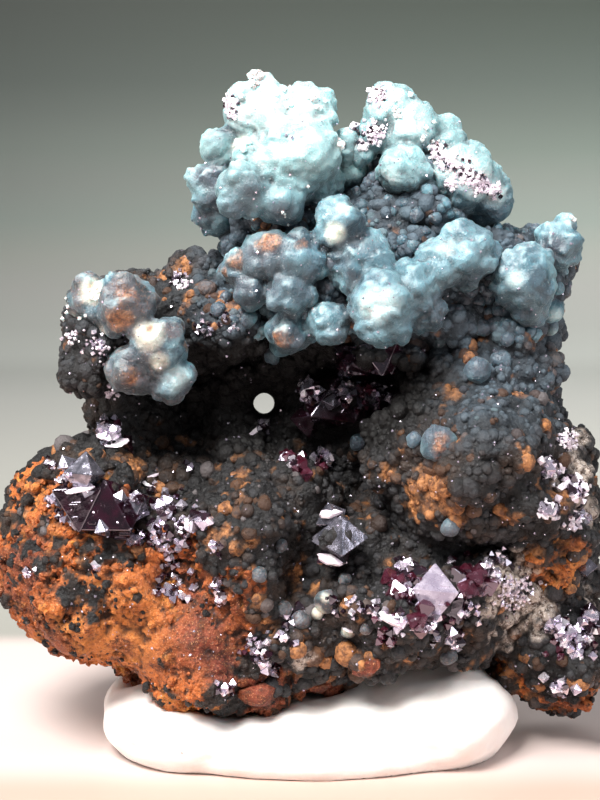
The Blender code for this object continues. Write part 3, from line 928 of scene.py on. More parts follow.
def wax_finish():
    """Cloudy blue-green crust that lets some light in."""
    finish = Finish("waxy_blue_crust")
    cloud_noise = finish.noise(1.3, 4.0, 0.55, 0.4)
    broad = finish.noise(3.0, 2.0, 0.5)
    fine = finish.noise(0.22, 4.0, 0.6)

    layers, span, marked = finish.layers, finish.span, finish.marked

    tone = marked("tone")
    stone = layers(
        (0.026, 0.024, 0.027),
        (span(cloud_noise, 0.40, 0.60), (0.115, 0.104, 0.118)),
        (span(fine, 0.52, 0.62, 0.0, 0.8), (0.14, 0.065, 0.038)),
    )
    plum = layers((0.035, 0.018, 0.026), (span(fine, 0.45, 0.55), (0.55, 0.45, 0.52)))
    rusty = layers((0.12, 0.045, 0.022), (span(fine, 0.35, 0.65), (0.46, 0.19, 0.075)))
    colour = layers(
        tint("wax"),
        (span(broad, 0.40, 0.62), (0.080, 0.150, 0.195)),
        (span(tone, 0.45, 0.80), (0.036, 0.070, 0.096)),
        (span(tone, 0.36, 0.10, 0.0, 0.8), (0.165, 0.300, 0.350)),
        (marked("mint"), (0.32, 0.51, 0.52)),
        (span(cloud_noise, 0.50, 0.70, 0.0, 0.3), (0.25, 0.41, 0.44)),
        (marked("grey"), (0.070, 0.090, 0.116)),
        (marked("stony"), stone),
        # Painted shade: darker on undersides and in the crevices between lumps.
        (marked("low"), (0.022, 0.040, 0.052)),
        (marked("plum"), plum),
        # Partly pale crust, partly painted highlight.
        (marked("pale"), (0.78, 0.95, 0.95)),
        (marked("cream"), (0.70, 0.66, 0.55)),
        (marked("rust"), rusty),
        # Painted shade where the crust meets the rock.
        (marked("deep"), (0.030, 0.040, 0.048)),
        (span(fine, 0.62, 0.75, 0.0, 0.35), (0.75, 0.85, 0.85)),
    )
    finish.set("Base Color", colour)
    finish.shader.subsurface_method = "RANDOM_WALK"
    finish.set("Subsurface Weight", 0.8)
    finish.shader.inputs["Subsurface Radius"].default_value = (0.45, 0.95, 1.0)
    finish.set("Subsurface Scale", 0.7 * MM)
    finish.set("Roughness", span(fine, 0.3, 0.7, 0.34, 0.55))
    finish.set("IOR", 1.55)
    finish.set("Sheen Weight", 0.15)
    finish.set("Sheen Roughness", 0.4)
    finish.put((0.75, 0.95, 0.95), finish.shader.inputs["Sheen Tint"])
    normal = finish.bump(finish.noise(0.35, 5.0, 0.65), 0.07, 0.8)
    normal = finish.bump(span(finish.cells(0.13), 0.0, 0.7, 1.0, 0.0), 0.03, 0.8, normal)
    finish.set("Normal", normal)
    return finish.material


def crystal_finish(name, colour, second, roughness, metallic):
    """A crystal of two colours with a mirror surface and growth marks."""
    finish = Finish(name)
    patches = finish.noise(0.8, 3.0, 0.6)
    finish.set("Base Color", finish.layers(colour, (finish.span(patches, 0.42, 0.66), second)))
    finish.set("Metallic", metallic)
    finish.set("IOR", 2.3)
    finish.put((0.93, 0.86, 1.0), finish.shader.inputs["Specular Tint"])
    dusty = finish.span(finish.noise(0.5, 5.0, 0.7), 0.48, 0.72, roughness, roughness + 0.3)
    finish.set("Roughness", dusty)
    steps = finish.bump(finish.cells(0.55), 0.04, 0.25)
    finish.set("Normal", finish.bump(finish.noise(0.25, 4.0, 0.7), 0.015, 0.35, steps))
    return finish.material


def putty_finish():
    """White putty, a little warmer where it is smeared."""
    finish = Finish("white_putty")
    smear = finish.noise(2.2, 4.0, 0.55)
    smeared = finish.span(smear, 0.35, 0.7), (0.80, 0.74, 0.71)
    colour = finish.layers(tint("putty"), smeared)
    finish.set("Base Color", colour)
    finish.set("Roughness", finish.span(smear, 0.3, 0.7, 0.55, 0.75))
    finish.set("Subsurface Weight", 0.3)
    finish.shader.inputs["Subsurface Radius"].default_value = (1.0, 0.7, 0.6)
    finish.set("Subsurface Scale", 1.0 * MM)
    normal = finish.bump(finish.noise(0.9, 4.0, 0.5), 0.10, 0.5)
    finish.set("Normal", finish.bump(finish.noise(0.15, 2.0, 0.5), 0.01, 0.5, normal))
    return finish.material


# The crystals' materials: colour, second colour, roughness and how metallic.
CRYSTAL_LOOKS = {
    # Partly metallic reflection, partly pale lilac painted as reflection so the crystals shine
    # where they mirror no lamp.
    "bright_cuprite": ((0.50, 0.44, 0.56), (0.92, 0.87, 0.95), 0.14, 0.7),
    "red_cuprite": ((0.038, 0.004, 0.010), (0.080, 0.018, 0.032), 0.12, 0.0),
    "silver_cuprite": ((0.16, 0.16, 0.20), (0.42, 0.40, 0.48), 0.12, 0.75),
    # Pale lilac painted as the reflection on the faces.
    "lilac_cuprite": ((0.28, 0.24, 0.32), (0.46, 0.41, 0.50), 0.25, 0.15),
    # Pinkish white: broken cuprite, with its glints painted in.
    "broken_druse": ((0.70, 0.60, 0.68), (0.93, 0.90, 0.92), 0.25, 0.1),
}

# The pieces of small crystals: their clusters and material, the number their chances
# start from, and how many of each cluster's crystals grow.
DRUSE_PIECES = (
    ("bright_druse", DRUSES, "bright_cuprite", 5, 1.0),
    ("dark_druse", DRUSES, "dark_cuprite", 6, 0.6),
    ("red_druse", RED_DRUSES, "red_cuprite", 10, 1.0),
    ("frosted_druse", GLINTING_DRUSES, "broken_druse", 7, 1.5),
    ("dark_cap_druse", CAP_BANDS, "dark_cuprite", 8, 0.4),
)


# Pieces

# What the camera can see of the pieces built so far.
TREES = {}

# The hole through the back of the hollow: its two ends and its radius.
WINDOW = (np.array((-2.36, -2.0, 20.0)), np.array((-2.62, 12.0, 17.8)))
WINDOW_RADIUS = 0.72

# The bare gossan of the left rock: its middle and half its size.
BARE_PLACE = (-11.8, 0.0, 6.6)
BARE_SIZE = (9.2, 14.0, 6.8)

# The hollow between the crown and the rock, painted near black as painted shadow: its middle
# and half its size.
HOLLOW_PLACE = (-1.0, -1.0, 20.6)
HOLLOW_SIZE = (9.5, 7.5, 3.4)

# The skin is parted at this depth, this height and this far across.
PART_DEPTH = 2.6
PART_HEIGHT = 18.4
PART_ACROSS = -1.0
FAR = 60.0

# How far the rock's solid is grown to close the gaps round the other nodes, and how
# much of that the skin gives back.
SKIN_GROWTH = 0.28
SKIN_SHRINK = 0.26

# How far apart lumps, crumbs and small waxy lumps start, and how deep each sits in the
# skin as a share of its radius.
GRAPE_SPACING, GRAPE_DEPTH = 1.15, 0.5
CRUMB_SPACING, CRUMB_DEPTH = 0.50, 0.4
SMALL_LUMP_SPACING, SMALL_LUMP_DEPTH = 1.25, 0.6
FOOT_LUMP_SPACING, FOOT_LUMP_DEPTH = 0.72, 0.35
BEAD_DEPTH = 0.48

# Beads and grapes keep this clear of the hole through the back.
WINDOW_CLEAR = 1.1
BEAD_WINDOW_CLEAR = 0.45

# The share of a crystal's radius at which its faces stand.
FACE_SHARE = 0.72

# The part of the picture in which specks are tried, in its pixels.
SPECKS_ACROSS = (60, 590)
SPECKS_DOWN = (70, 700)


def finish_piece(made, material, node, smooth=True):
    """Gives the piece its material and shading, puts it under the root body, and hides the node
    that it stands for.
    """
    made.data.materials.clear()
    made.data.materials.append(material)
    if smooth:
        made.data.shade_smooth()
    else:
        made.data.shade_flat()
    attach(made, "root")
    if node:
        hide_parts(node)


def from_window(points):
    """How far each point is from the edge of the hole through the back."""
    start, end = WINDOW
    along = (end - start) / np.linalg.norm(end - start)
    away = points - start
    away = away - (away @ along)[:, None] * along
    return np.linalg.norm(away, axis=1) - WINDOW_RADIUS


def outside(points, groups, share=1.0):
    """How far each point is outside this share of the nearest lump or crystal."""
    nearest = np.full(len(points), FAR)
    for grown in itertools.chain(*groups.values()):
        distance = np.linalg.norm(points - np.array(grown[:3]), axis=1)
        nearest = np.minimum(nearest, distance - grown.radius * share)
    return nearest


def closed_skin():
    """The rock's skin with the gaps round the crust and the crystals filled."""
    shapes = [node_shape("matrix", SKIN_GROWTH)]
    shapes += [node_shape(node, -0.05) for node in CRUSTS]
    shapes += [node_shape(node, -0.20) for node in CUPRITE]
    made = joined("rock_skin", shapes)
    melt(made, 0.24, 0)
    move(made.data, places(made.data) - ways(made.data) * SKIN_SHRINK)
    melt(made, 0.22, 3)
    return made


def from_bare(points):
    """How far from its middle the bare gossan of the left rock each point is."""
    return np.linalg.norm((points - np.array(BARE_PLACE)) / BARE_SIZE, axis=1)


def bareness(points):
    """How bare of crust the rock is: by its patches in front, at random behind."""
    bare = shares(points, [TREES["skin"]], BARE_ROCK, 0.25)
    low = ramp(points[:, 2], 17.0, 11.0)
    behind = ramp(points[:, 1], 2.0, 4.5)
    spread = np.clip((cloud(points, 3.2, 3) + low * 0.55 - 0.15) * 3.0, 0.0, 1.0)
    under = ramp(points[:, 2], 5.0, 2.0) * 0.7
    bare = np.maximum(bare, np.maximum(spread * behind, under))
    zone = ramp(from_bare(points), 1.15, 0.85)
    bare = np.maximum(bare, zone)
    ragged = cloud(points, 0.9, 8, 3) * (0.4 - 0.25 * zone) * (bare > 0.02)
    black = shares(points, [TREES["skin"]], BLACK_PATCHES, 0.3)
    black = black + cloud(points, 0.5, 12, 3) * 0.5 * (black > 0.05)
    return ramp(bare + ragged, 0.38, 0.62) * ramp(black, 0.60, 0.42)


def with_grapes(made):
    """The skin with round lumps grown where the black crust covers it."""
    points, out = places(made.data), ways(made.data)
    covered = (bareness(points) < 0.5) & (from_window(points) > WINDOW_CLEAR)
    covered &= outside(points, CRUSTS) > 0.35
    centres, directions = strew(points[covered], out[covered], GRAPE_SPACING, 5)
    rng = np.random.default_rng(11)
    radii = surface("grape") * (0.45 + 0.55 * rng.random(len(centres)) ** 1.5)
    centres = centres - directions * radii[:, None] * GRAPE_DEPTH
    ball, faces = ball_shape(3)
    shapes = [(points, triangles_of(made.data))]
    shapes += [(ball * radius + centre, faces) for centre, radius in zip(centres, radii)]
    grown = joined("grapes", shapes)
    bpy.data.objects.remove(made)
    melt(grown, surface("skin_step"), 2)
    return grown


def mark_rock(mesh, points, bare, rust, high, each=0.5):
    """The numbers that the rock's material reads."""
    mark(mesh, "each", np.broadcast_to(each, len(points)))
    crown = ramp(points[:, 2], 22.0, 24.5) * ramp(points[:, 1], 7.0, 2.0)
    buttress = ramp(points[:, 2], 18.0, 21.5) * ramp(points[:, 0], 5.0, 9.0) * 0.75
    left = ramp(points[:, 0], -4.0, -7.0)
    right = ramp(points[:, 0], 14.0, 16.0)
    blue = np.maximum(crown * (1.0 - 0.9 * left) * (1.0 - 0.8 * right), buttress)
    blue = np.clip(blue * (0.9 + cloud(points, 2.0, 41) * 0.35), 0.0, 1.0)
    hollow = np.linalg.norm((points - np.array(HOLLOW_PLACE)) / HOLLOW_SIZE, axis=1)
    mark(mesh, "bare", bare)
    mark(mesh, "rust", rust)
    mark(mesh, "blue", blue)
    # Painted shade: the high mark lightens bead tops so their feet come out darker, less so low
    # on the left.
    low = ramp(points[:, 0], -3.0, -6.0) * ramp(points[:, 2], 21.0, 18.0)
    mark(mesh, "high", np.clip(high * (1.0 - 0.6 * low), 0.0, 1.0))
    front = [TREES["skin"]]
    # Painted shadow, near black, in the hollow under the crown and in the shaded grooves.
    painted_shadow = shares(points, front, PAINTED_SHADOWS, 0.5) * 0.9
    mark(mesh, "sooty", np.maximum(ramp(hollow, 1.35, 0.95), painted_shadow))
    mark(mesh, "golden", shares(points, front, GOLDEN, 0.5))
    dusty = shares(points, front, DUSTY, 0.5)
    dusty = dusty + cloud(points, 0.7, 55, 3) * 0.5 * (dusty > 0.05)
    mark(mesh, "dusty", ramp(dusty, 0.25, 0.75))
    mark(mesh, "ruddy", shares(points, front, RUDDY, 0.5))
    # Painted shade: darker where the skin sinks below its evened surface, in creases.
    mark(mesh, "deep", ramp(bulge(mesh, 12), -0.01, -0.09) * 0.9)


def rustiness(points):
    """How rusty the black crust is, in its spots and in specks at random."""
    rust = shares(points, [TREES["skin"]], RUST_SPOTS, 0.5)
    rust = rust + cloud(points, 0.6, 21, 3) * 0.5 * (rust > 0.03)
    speckle = np.clip((cloud(points, 0.8, 31, 3) - 0.95) * 3.0, 0.0, 0.6)
    return np.clip(np.maximum(rust, speckle), 0.0, 1.0)


def rock_pieces():
    """The skin grown with lumps, beads and broken faces, in four pieces."""
    made = closed_skin()
    TREES["skin"] = tree_of(made)
    made = with_grapes(made)

    points, out = places(made.data), ways(made.data)
    bare = bareness(points)
    clear = ramp(from_window(points), 0.0, 0.6)
    bead = surface("bead")
    beads, _ = balls(points, bead * 1.8, 3, 0.40, 0.72)
    height = beads * bead * 1.8 * 0.55 * (1.0 - bare) + cloud(points, 0.3, 4) * 0.02
    broken = flakes(points, 1.5, 9) * 0.30 + flakes(points, 0.6, 19) * 0.20
    crumbs = cloud(points, 0.55, 2, 4) * 0.13
    smooth = shares(points, [TREES["skin"]], SMOOTH, 0.5)
    height += (np.clip(broken, -0.5, 0.5) + crumbs) * bare * (1.0 - 0.6 * smooth)
    gap = outside(points, CRUSTS)
    height = height * ramp(gap, 0.0, 0.5) - ramp(gap, 0.3, -0.1) * 0.35
    points = points + out * (height * clear)[:, None]
    move(made.data, points)
    mark_rock(made.data, points, bare, rustiness(points), beads * 0.8)

    finish = rock_finish()
    regions = {
        "back_rock": ((-FAR, PART_DEPTH, -FAR), (FAR, FAR, FAR)),
        "crown_rock": ((-FAR, -FAR, PART_HEIGHT), (FAR, PART_DEPTH, FAR)),
        "left_rock": ((-FAR, -FAR, -FAR), (PART_ACROSS, PART_DEPTH, PART_HEIGHT)),
        "right_rock": ((PART_ACROSS, -FAR, -FAR), (FAR, PART_DEPTH, PART_HEIGHT)),
    }
    for name, (low, high) in regions.items():
        part = cut_out(made, name, Vector(low), Vector(high))
        TREES[name] = tree_of(part)
        finish_piece(part, finish, "matrix")
    out = ways(made.data)
    front = points[:, 1] < PART_DEPTH + 1.0
    bead_pieces(points[front], out[front], bare[front], finish)
    crumb_piece(points, out, bare, finish)
    block_piece(finish)
    bpy.data.objects.remove(made)


# A size of bead: how far apart, the smallest and largest radius as a share of the
# usual bead, the detail of its ball and the number its chances start from.
BeadSize = namedtuple("BeadSize", "spacing small large detail seed")
BEADS = [
    BeadSize(0.98, 0.85, 1.75, 2, 23),
    BeadSize(0.70, 0.50, 0.85, 1, 43),
]


def bead_pieces(points, out, bare, finish):
    """Round beads, large and small, all over the black crust that shows."""
    wanted = (bare < 0.5) & (from_window(points) > BEAD_WINDOW_CLEAR)
    wanted &= (outside(points, CRUSTS) > 0.12) & (outside(points, CUPRITE, FACE_SHARE) > 0.1)
    batches = []
    for size in BEADS:
        centres, directions = strew(points[wanted], out[wanted], size.spacing, size.seed)
        rng = np.random.default_rng(size.seed)
        share = size.small + (size.large - size.small) * rng.random(len(centres)) ** 2.2
        share *= 1.0 + 0.30 * cloud(centres, 4.0, 61)
        share *= 0.45 + 0.55 * ramp(from_bare(centres), 1.05, 1.35)
        radii = surface("bead") * share
        centres = centres - directions * radii[:, None] * BEAD_DEPTH
        rust = rustiness(centres)
        rusted = rust > rng.uniform(0.25, 0.75, len(rust))
        rust = np.where(rusted, np.maximum(rust, 0.8), rust * 0.3)
        batches.append((size, centres, directions, radii, rust, rng))
    regions = {
        "crown_beads": lambda place: place[:, 2] >= PART_HEIGHT,
        "left_beads": lambda place: (place[:, 2] < PART_HEIGHT) & (place[:, 0] < 0),
        "right_beads": lambda place: (place[:, 2] < PART_HEIGHT) & (place[:, 0] >= 0),
    }
    for name, inside in regions.items():
        shapes, high, rusty, each = [], [], [], []
        for size, centres, directions, radii, rust, rng in batches:
            ball, faces = ball_shape(size.detail)
            tones = 0.5 + 0.36 * cloud(centres, 0.9, 83)
            for number in np.flatnonzero(inside(centres)):
                squash = rng.uniform(0.82, 1.12, 3)
                shapes.append((ball * squash * radii[number] + centres[number], faces))
                high.append(ball @ directions[number])
                rusty.append(np.full(len(ball), rust[number]))
                each.append(np.full(len(ball), tones[number] + rng.uniform(-0.12, 0.12)))
        made = joined(name, shapes)
        spots = roughen(made.data, 0.45, 6, 2, 0.06)
        rusty, high, each = (np.concatenate(found) for found in (rusty, high, each))
        mark_rock(made.data, spots, np.zeros(len(spots)), rusty, high, each)
        TREES[name] = tree_of(made)
        finish_piece(made, finish, "matrix")


def crumb_piece(points, out, bare, finish):
    """Broken crumbs of gossan, some of them black, on the bare rock that shows."""
    rough = ramp(points[:, 0], -3.0, -9.0) * 0.8 + 0.2
    rng = np.random.default_rng(31)
    wanted = (bare > 0.6) & (points[:, 1] < 3.0) & (rng.random(len(points)) < rough)
    smooth = shares(points, [TREES["skin"]], SMOOTH, 0.5)
    wanted &= smooth < rng.uniform(0.1, 1.0, len(points))
    centres, directions = strew(points[wanted], out[wanted], CRUMB_SPACING, 37)
    chip, faces = ball_shape(1)
    shapes, black, high = [], [], []
    # Some crumbs are black crust, which is their own colour.
    sooty = cloud(centres, 1.3, 51) > 0.70
    for number, (centre, direction) in enumerate(zip(centres, directions)):
        radius = 0.10 + 0.22 * rng.random() ** 2
        turn = np.array(Euler(rng.uniform(0, math.pi, 3)).to_matrix())
        jagged = (chip * rng.uniform(0.65, 1.25, (len(chip), 1))) @ turn.T
        shapes.append((jagged * radius + centre - direction * radius * CRUMB_DEPTH, faces))
        black.append(np.full(len(chip), 0.0 if sooty[number] or rng.random() < 0.06 else 1.0))
        high.append(chip @ direction)
    made = joined("gossan_crumbs", shapes)
    bared = np.concatenate(black)
    mark_rock(made.data, places(made.data), bared, bared * 0.0, np.concatenate(high))
    finish_piece(made, finish, "matrix", smooth=False)


def cut_out(made, name, low, high):
    """The part of the skin inside a box."""
    bm = bmesh.new()
    matrix = Matrix.LocRotScale((low + high) / 2 * MM, None, (high - low) * MM)
    bmesh.ops.create_cube(bm, size=1.0, matrix=matrix)
    box = object_from(bm, name + "_box")
    part = linked(name, made.data.copy())
    region = part.modifiers.new("region", "BOOLEAN")
    region.operation = "INTERSECT"
    region.solver = "MANIFOLD"
    region.object = box
    settle(part)
    part.data.set_sharp_from_angle(angle=math.radians(70.0))
    bpy.data.objects.remove(box)
    return part


def flattened(ball, reach, rng, flats, least, most):
    """How far a ball's points reach, cut short by some flat planes at random."""
    for _ in range(flats):
        flat = np.array([rng.gauss(0.0, 1.0) for _ in range(3)])
        facing = ball @ (flat / np.linalg.norm(flat))
        reach = np.minimum(reach, rng.uniform(least, most) / np.maximum(facing, 0.1))
    return reach


def lump_shape(lump, rng, detail=4, flats=12):
    """A rounded octahedron: a ball pushed out along its three axes, with flat places."""
    ball, faces = ball_shape(detail)
    reach = (np.abs(ball) ** LUMP_POINT).sum(axis=1) ** (-1.0 / LUMP_POINT)
    reach *= 3.0 ** (0.5 / LUMP_POINT - 0.25)
    reach = flattened(ball, reach, rng, flats, 0.82, 1.0)
    shape = (ball * reach[:, None]) @ any_turn(rng, math.pi / 2)
    return shape * lump.radius * 1.04 + np.array((lump.x, lump.y, lump.z)), faces


# The crust is painted paler, as a painted highlight, where it faces this way: up and to the
# front, towards the key light.
HIGHLIGHT_WAY = np.array((-0.34, -0.56, 0.755))

# The crust's growth layers follow one another this way and this far apart.
LAYER_WAY = np.array((0.35, 0.25, 0.90))
LAYER_STEP = 0.62

# How each crust looks: the share of its places that grow a small lump, how green it
# is near the top, and how much of it is grey and brown.
CrustLook = namedtuple("CrustLook", "small_lumps mint stony")
CRUST_LOOKS = {
    "blue_cap_left": CrustLook(0.30, 0.85, 0.0),
    "blue_cap_right": CrustLook(0.40, 0.60, 0.0),
    "blue_ridge": CrustLook(0.60, 0.05, 0.10),
    "blue_knob_right": CrustLook(0.50, 0.15, 0.0),
    "blue_arm_left": CrustLook(0.90, 0.0, 0.85),
}


def crust_shape(name):
    """Lumps of waxy crust run together, with smaller lumps and fine beads on them."""
    rng = random.Random(name)
    made = joined(name + "_wax", [lump_shape(lump, rng) for lump in CRUSTS[name]])
    melt(made, surface("crust_step"), 2)

    points, out = places(made.data), ways(made.data)
    centres, directions = strew(points, out, SMALL_LUMP_SPACING, 13)
    ball, faces = ball_shape(3)
    shapes = [(points, triangles_of(made.data))]
    for centre, direction in zip(centres, directions):
        if rng.random() < CRUST_LOOKS[name].small_lumps:
            radius = rng.uniform(0.30, 0.85)
            place = centre - direction * radius * SMALL_LUMP_DEPTH
            shapes.append((ball * radius + place, faces))
    bpy.data.objects.remove(made)
    made = joined(name + "_wax", shapes)
    melt(made, surface("crust_step"), 2)

    points, out = places(made.data), ways(made.data)
    beads, _ = balls(points, 0.62, 4, 0.35, 0.62)
    height = cloud(points, 0.9, 3) * 0.07 + cloud(points, 0.35, 6) * 0.04
    broken = flakes(points, 1.3, 77) * 0.10
    height += evened(made.data, broken[:, None], 1)[:, 0]
    height += beads * 0.16 * ramp(cloud(points, 2.2, 9), -0.1, 0.4)
    along = points @ LAYER_WAY / LAYER_STEP + cloud(points, 1.8, 33) * 1.2
    height += np.sin(along * 2.0 * math.pi) * 0.035 * ramp(cloud(points, 2.6, 15), -0.1, 0.4)
    move(made.data, points + out * height[:, None])
    return made, points


def gap_to(trees, points):
    """How far each point is from the nearest of these pieces, at most a millimetre."""
    gap = np.full(len(points), 1.0)
    for tree in trees:
        for index, point in enumerate(points):
            found = tree.find_nearest(Vector(point * MM), 0.6 * MM)[3]
            if found is not None:
                gap[index] = min(gap[index], found / MM)
    return gap


def crust_piece(name, finish):
    """A mass of waxy crust with the numbers that its material reads."""
    made, points = crust_shape(name)
    mesh, look, front = made.data, CRUST_LOOKS[name], [TREES["lumps"]]
    way, stands = ways(mesh), bulge(mesh, 30)

    rust = shares(points, front, RUST_SPOTS + RUSTY_LUMPS, 0.5)
    rust = np.clip(rust + cloud(points, 0.6, 21) * 0.3 * (rust > 0.03), 0.0, 0.8)
    # Painted highlight on the bulges that face the key light.
    painted_highlight = ramp(way @ HIGHLIGHT_WAY, 0.75, 1.0) * ramp(stands, 0.0, 0.15) * 0.40
    pale = np.maximum(shares(points, front, PALE_AND_HIGHLIT_LUMPS, 0.7), painted_highlight)
    pale = pale * np.clip(0.9 + cloud(points, 0.7, 27) * 0.3, 0.0, 1.0)
    grey = shares(points, front, GREY_LUMPS, 0.5)
    stony = look.stony * ramp(cloud(points, 1.6, 71), -0.55, -0.1)
    stony = stony * ramp(shares(points, front, STILL_BLUE), 0.6, 0.2)
    stony = np.maximum(stony, shares(points, front, STONE, 0.5))
    gap = gap_to([TREES[region] for region in ("crown_rock", "left_rock", "back_rock")], points)
    # Painted shade on undersides that face down; with the crevices it makes the low mark.
    under = ramp(way[:, 2], 0.15, -0.75) * 0.65
    bands = [Patch(*druse[:2], druse.radius * 1.1) for druse in GLINTING_DRUSES]
    plum = shares(points, front, bands, 0.3)
    plum = plum + cloud(points, 0.5, 91) * 0.6 * (plum > 0.05)

    mark(mesh, "rust", rust)
    mark(mesh, "stony", stony)
    mark(mesh, "pale", pale * (1.0 - 0.7 * stony))
    mark(mesh, "cream", shares(points, front, CREAM_LUMPS, 0.5))
    mark(mesh, "grey", np.clip(grey + cloud(points, 1.4, 17) * 0.3, 0.0, 1.0))
    # Painted shade: darker close to the rock, where the crust meets it.
    mark(mesh, "deep", ramp(gap, 0.55, 0.05) * 0.8)
    mark(mesh, "low", np.maximum(ramp(stands, 0.0, -0.16) * 0.85, under))
    mark(mesh, "mint", look.mint * ramp(points[:, 2], 31.0, 33.6))
    mark(mesh, "plum", ramp(plum, 0.3, 0.7))
    mark_tone(mesh)
    TREES[name] = tree_of(made)
    finish_piece(made, finish, name)


def mark_tone(mesh):
    """Gives each lump its own tone, from light to dark."""
    _, known = balls(places(mesh), 2.0, 29, 0.6, 1.1)
    mark(mesh, "tone", evened(mesh, known[:, None], 8)[:, 0])


def mark_wax(made):
    """The numbers that the wax's material reads, for lumps away from the crusts."""
    mesh, points = made.data, places(made.data)
    front = [tree_of(made)]
    rust = shares(points, front, RUSTY_LUMPS, 0.5)
    mark(mesh, "rust", rust * ramp(cloud(points, 0.5, 21), -0.6, 0.2))
    mark(mesh, "pale", shares(points, front, PALE_AND_HIGHLIT_LUMPS) * 0.5)
    mark(mesh, "cream", shares(points, front, CREAM_LUMPS))
    mark(mesh, "grey", np.clip(0.6 + cloud(points, 1.1, 17) * 0.6, 0.0, 1.0))
    mark(mesh, "stony", ramp(points[:, 2], 16.0, 13.0) * 0.75)
    mark_tone(mesh)


def lone_lump_piece(finish):
    """Single waxy lumps on the black crust, and waxy beads round the foot of each crust."""
    rng = random.Random(61)
    trees = [TREES[region] for region in ("crown_rock", "left_rock", "right_rock")]
    shapes = []
    for patch, place, out, pixel in seen_patches(trees, LONE_LUMPS):
        radius = patch.radius * pixel
        middle = place + out * radius * 0.15
        detail = 4 if radius > 0.55 else 3
        shapes.append(lump_shape(Lump(*middle, radius), rng, detail, 3))

    crown = bpy.data.objects["crown_rock"].data
    points, out = places(crown), ways(crown)
    near = outside(points, CRUSTS)
    wanted = (near > 0.0) & (near < 1.1) & (points[:, 2] > 22.5)
    wanted &= (points[:, 0] > -6.5) & (points[:, 0] < 14.5)
    centres, directions = strew(points[wanted], out[wanted], FOOT_LUMP_SPACING, 67)
    ball, faces = ball_shape(2)
    for centre, direction in zip(centres, directions):
        if rng.random() < 0.45:
            radius = rng.uniform(0.24, 0.48)
            place = centre - direction * radius * FOOT_LUMP_DEPTH
            shapes.append((ball * radius + place, faces))
    made = joined("lone_lumps", shapes)
    roughen(made.data, 0.5, 6, 2, 0.05)
    mark_wax(made)
    finish_piece(made, finish, None)


def crystal_shape(edge, corner):
    """A ball of four segments and two rings: an octahedron with its edges just broken
    and its corners cut off."""
    bm = bmesh.new()
    bmesh.ops.create_uvsphere(bm, u_segments=4, v_segments=2, radius=1.0)
    if corner:
        bmesh.ops.bevel(bm, geom=bm.verts[:], offset=corner, segments=1, affect="VERTICES")
    if edge:
        bmesh.ops.bevel(bm, geom=bm.edges[:], offset=edge, segments=1, affect="EDGES")
    return shape_of(bm)


def grown_crystal(crystal, kinds, rng):
    """A crystal with smaller ones grown on its faces, all turned alike."""
    turn, place = turned(crystal.turn), np.array(crystal[:3])
    points, faces = kinds[0]
    shapes = [(points @ turn * crystal.radius + place, faces)]
    for _ in range(round(crystal.radius * 7)):
        side = np.array([rng.choice((-1.0, 1.0)) for _ in range(3)])
        weights = np.array([rng.expovariate(1.0) for _ in range(3)])
        on_face = side * weights / weights.sum()
        radius = rng.uniform(0.07, 0.26)
        centre = on_face - side / 3 * radius * rng.uniform(0.6, 0.95)
        points, faces = kinds[rng.randrange(len(kinds))]
        points = (points * radius + centre) @ turn * crystal.radius + place
        shapes.append((points, faces))
    return shapes


def cuprite_piece(name, crystals, node, finish):
    """A group of crystals, with smaller ones on them, in place of its node."""
    kinds = [crystal_shape(0.018, 0.06), crystal_shape(0.03, 0.0), crystal_shape(0.03, 0.3)]
    rng = random.Random(name)
    shapes = []
    for crystal in crystals:
        shapes += grown_crystal(crystal, kinds, rng)
    made = joined(name, shapes)
    TREES[name] = tree_of(made)
    finish_piece(made, finish, node, smooth=False)


def druse_piece(name, druses, finish, seed, share):
    """Small octahedra half grown into the skin."""
    rng = random.Random(seed)
    small, large = crystal_shape(0.0, 0.0), crystal_shape(0.0, 0.2)
    shapes = []
    for druse in druses:
        for _ in range(math.ceil(druse.count * share)):
            across = druse.across + rng.gauss(0.0, 0.5) * druse.radius
            down = druse.down + rng.gauss(0.0, 0.5) * druse.radius
            seen = seen_at(TREES.values(), across, down)
            if seen is None:
                continue
            place, out, distance = seen
            radius = rng.uniform(druse.small, druse.large) * pixel_size(distance) * 0.6
            turn = any_turn(rng)
            octahedron, faces = small if radius < 0.2 else large
            points = octahedron @ turn * radius
            shapes.append((points + np.array(place + out * radius * 0.3), faces))
    made = joined(name, shapes)
    finish_piece(made, finish, None, smooth=False)
    return made


def block_piece(finish):
    """Broken blocks of gossan stuck to the foot of the rock."""
    rng = random.Random(71)
    trees = [TREES[region] for region in ("left_rock", "right_rock")]
    ball, faces = ball_shape(3)
    shapes = []
    for patch, place, out, pixel in seen_patches(trees, BLOCKS):
        reach = flattened(ball, np.ones(len(ball)), rng, 10, 0.4, 0.7)
        long = np.array((rng.uniform(1.1, 1.4), 0.8, rng.uniform(0.7, 0.9)))
        shape = ball * reach[:, None] * long * patch.radius * pixel
        shapes.append((shape + np.array(place - out * 0.2), faces))
    made = joined("gossan_blocks", shapes)
    points = roughen(made.data, 0.5, 81, 3, 0.035)
    bare = np.ones(len(points))
    mark_rock(made.data, points, bare, bare * 0.0, bare * 0.5)
    made.data.set_sharp_from_angle(angle=math.radians(35.0))
    finish_piece(made, finish, "matrix")


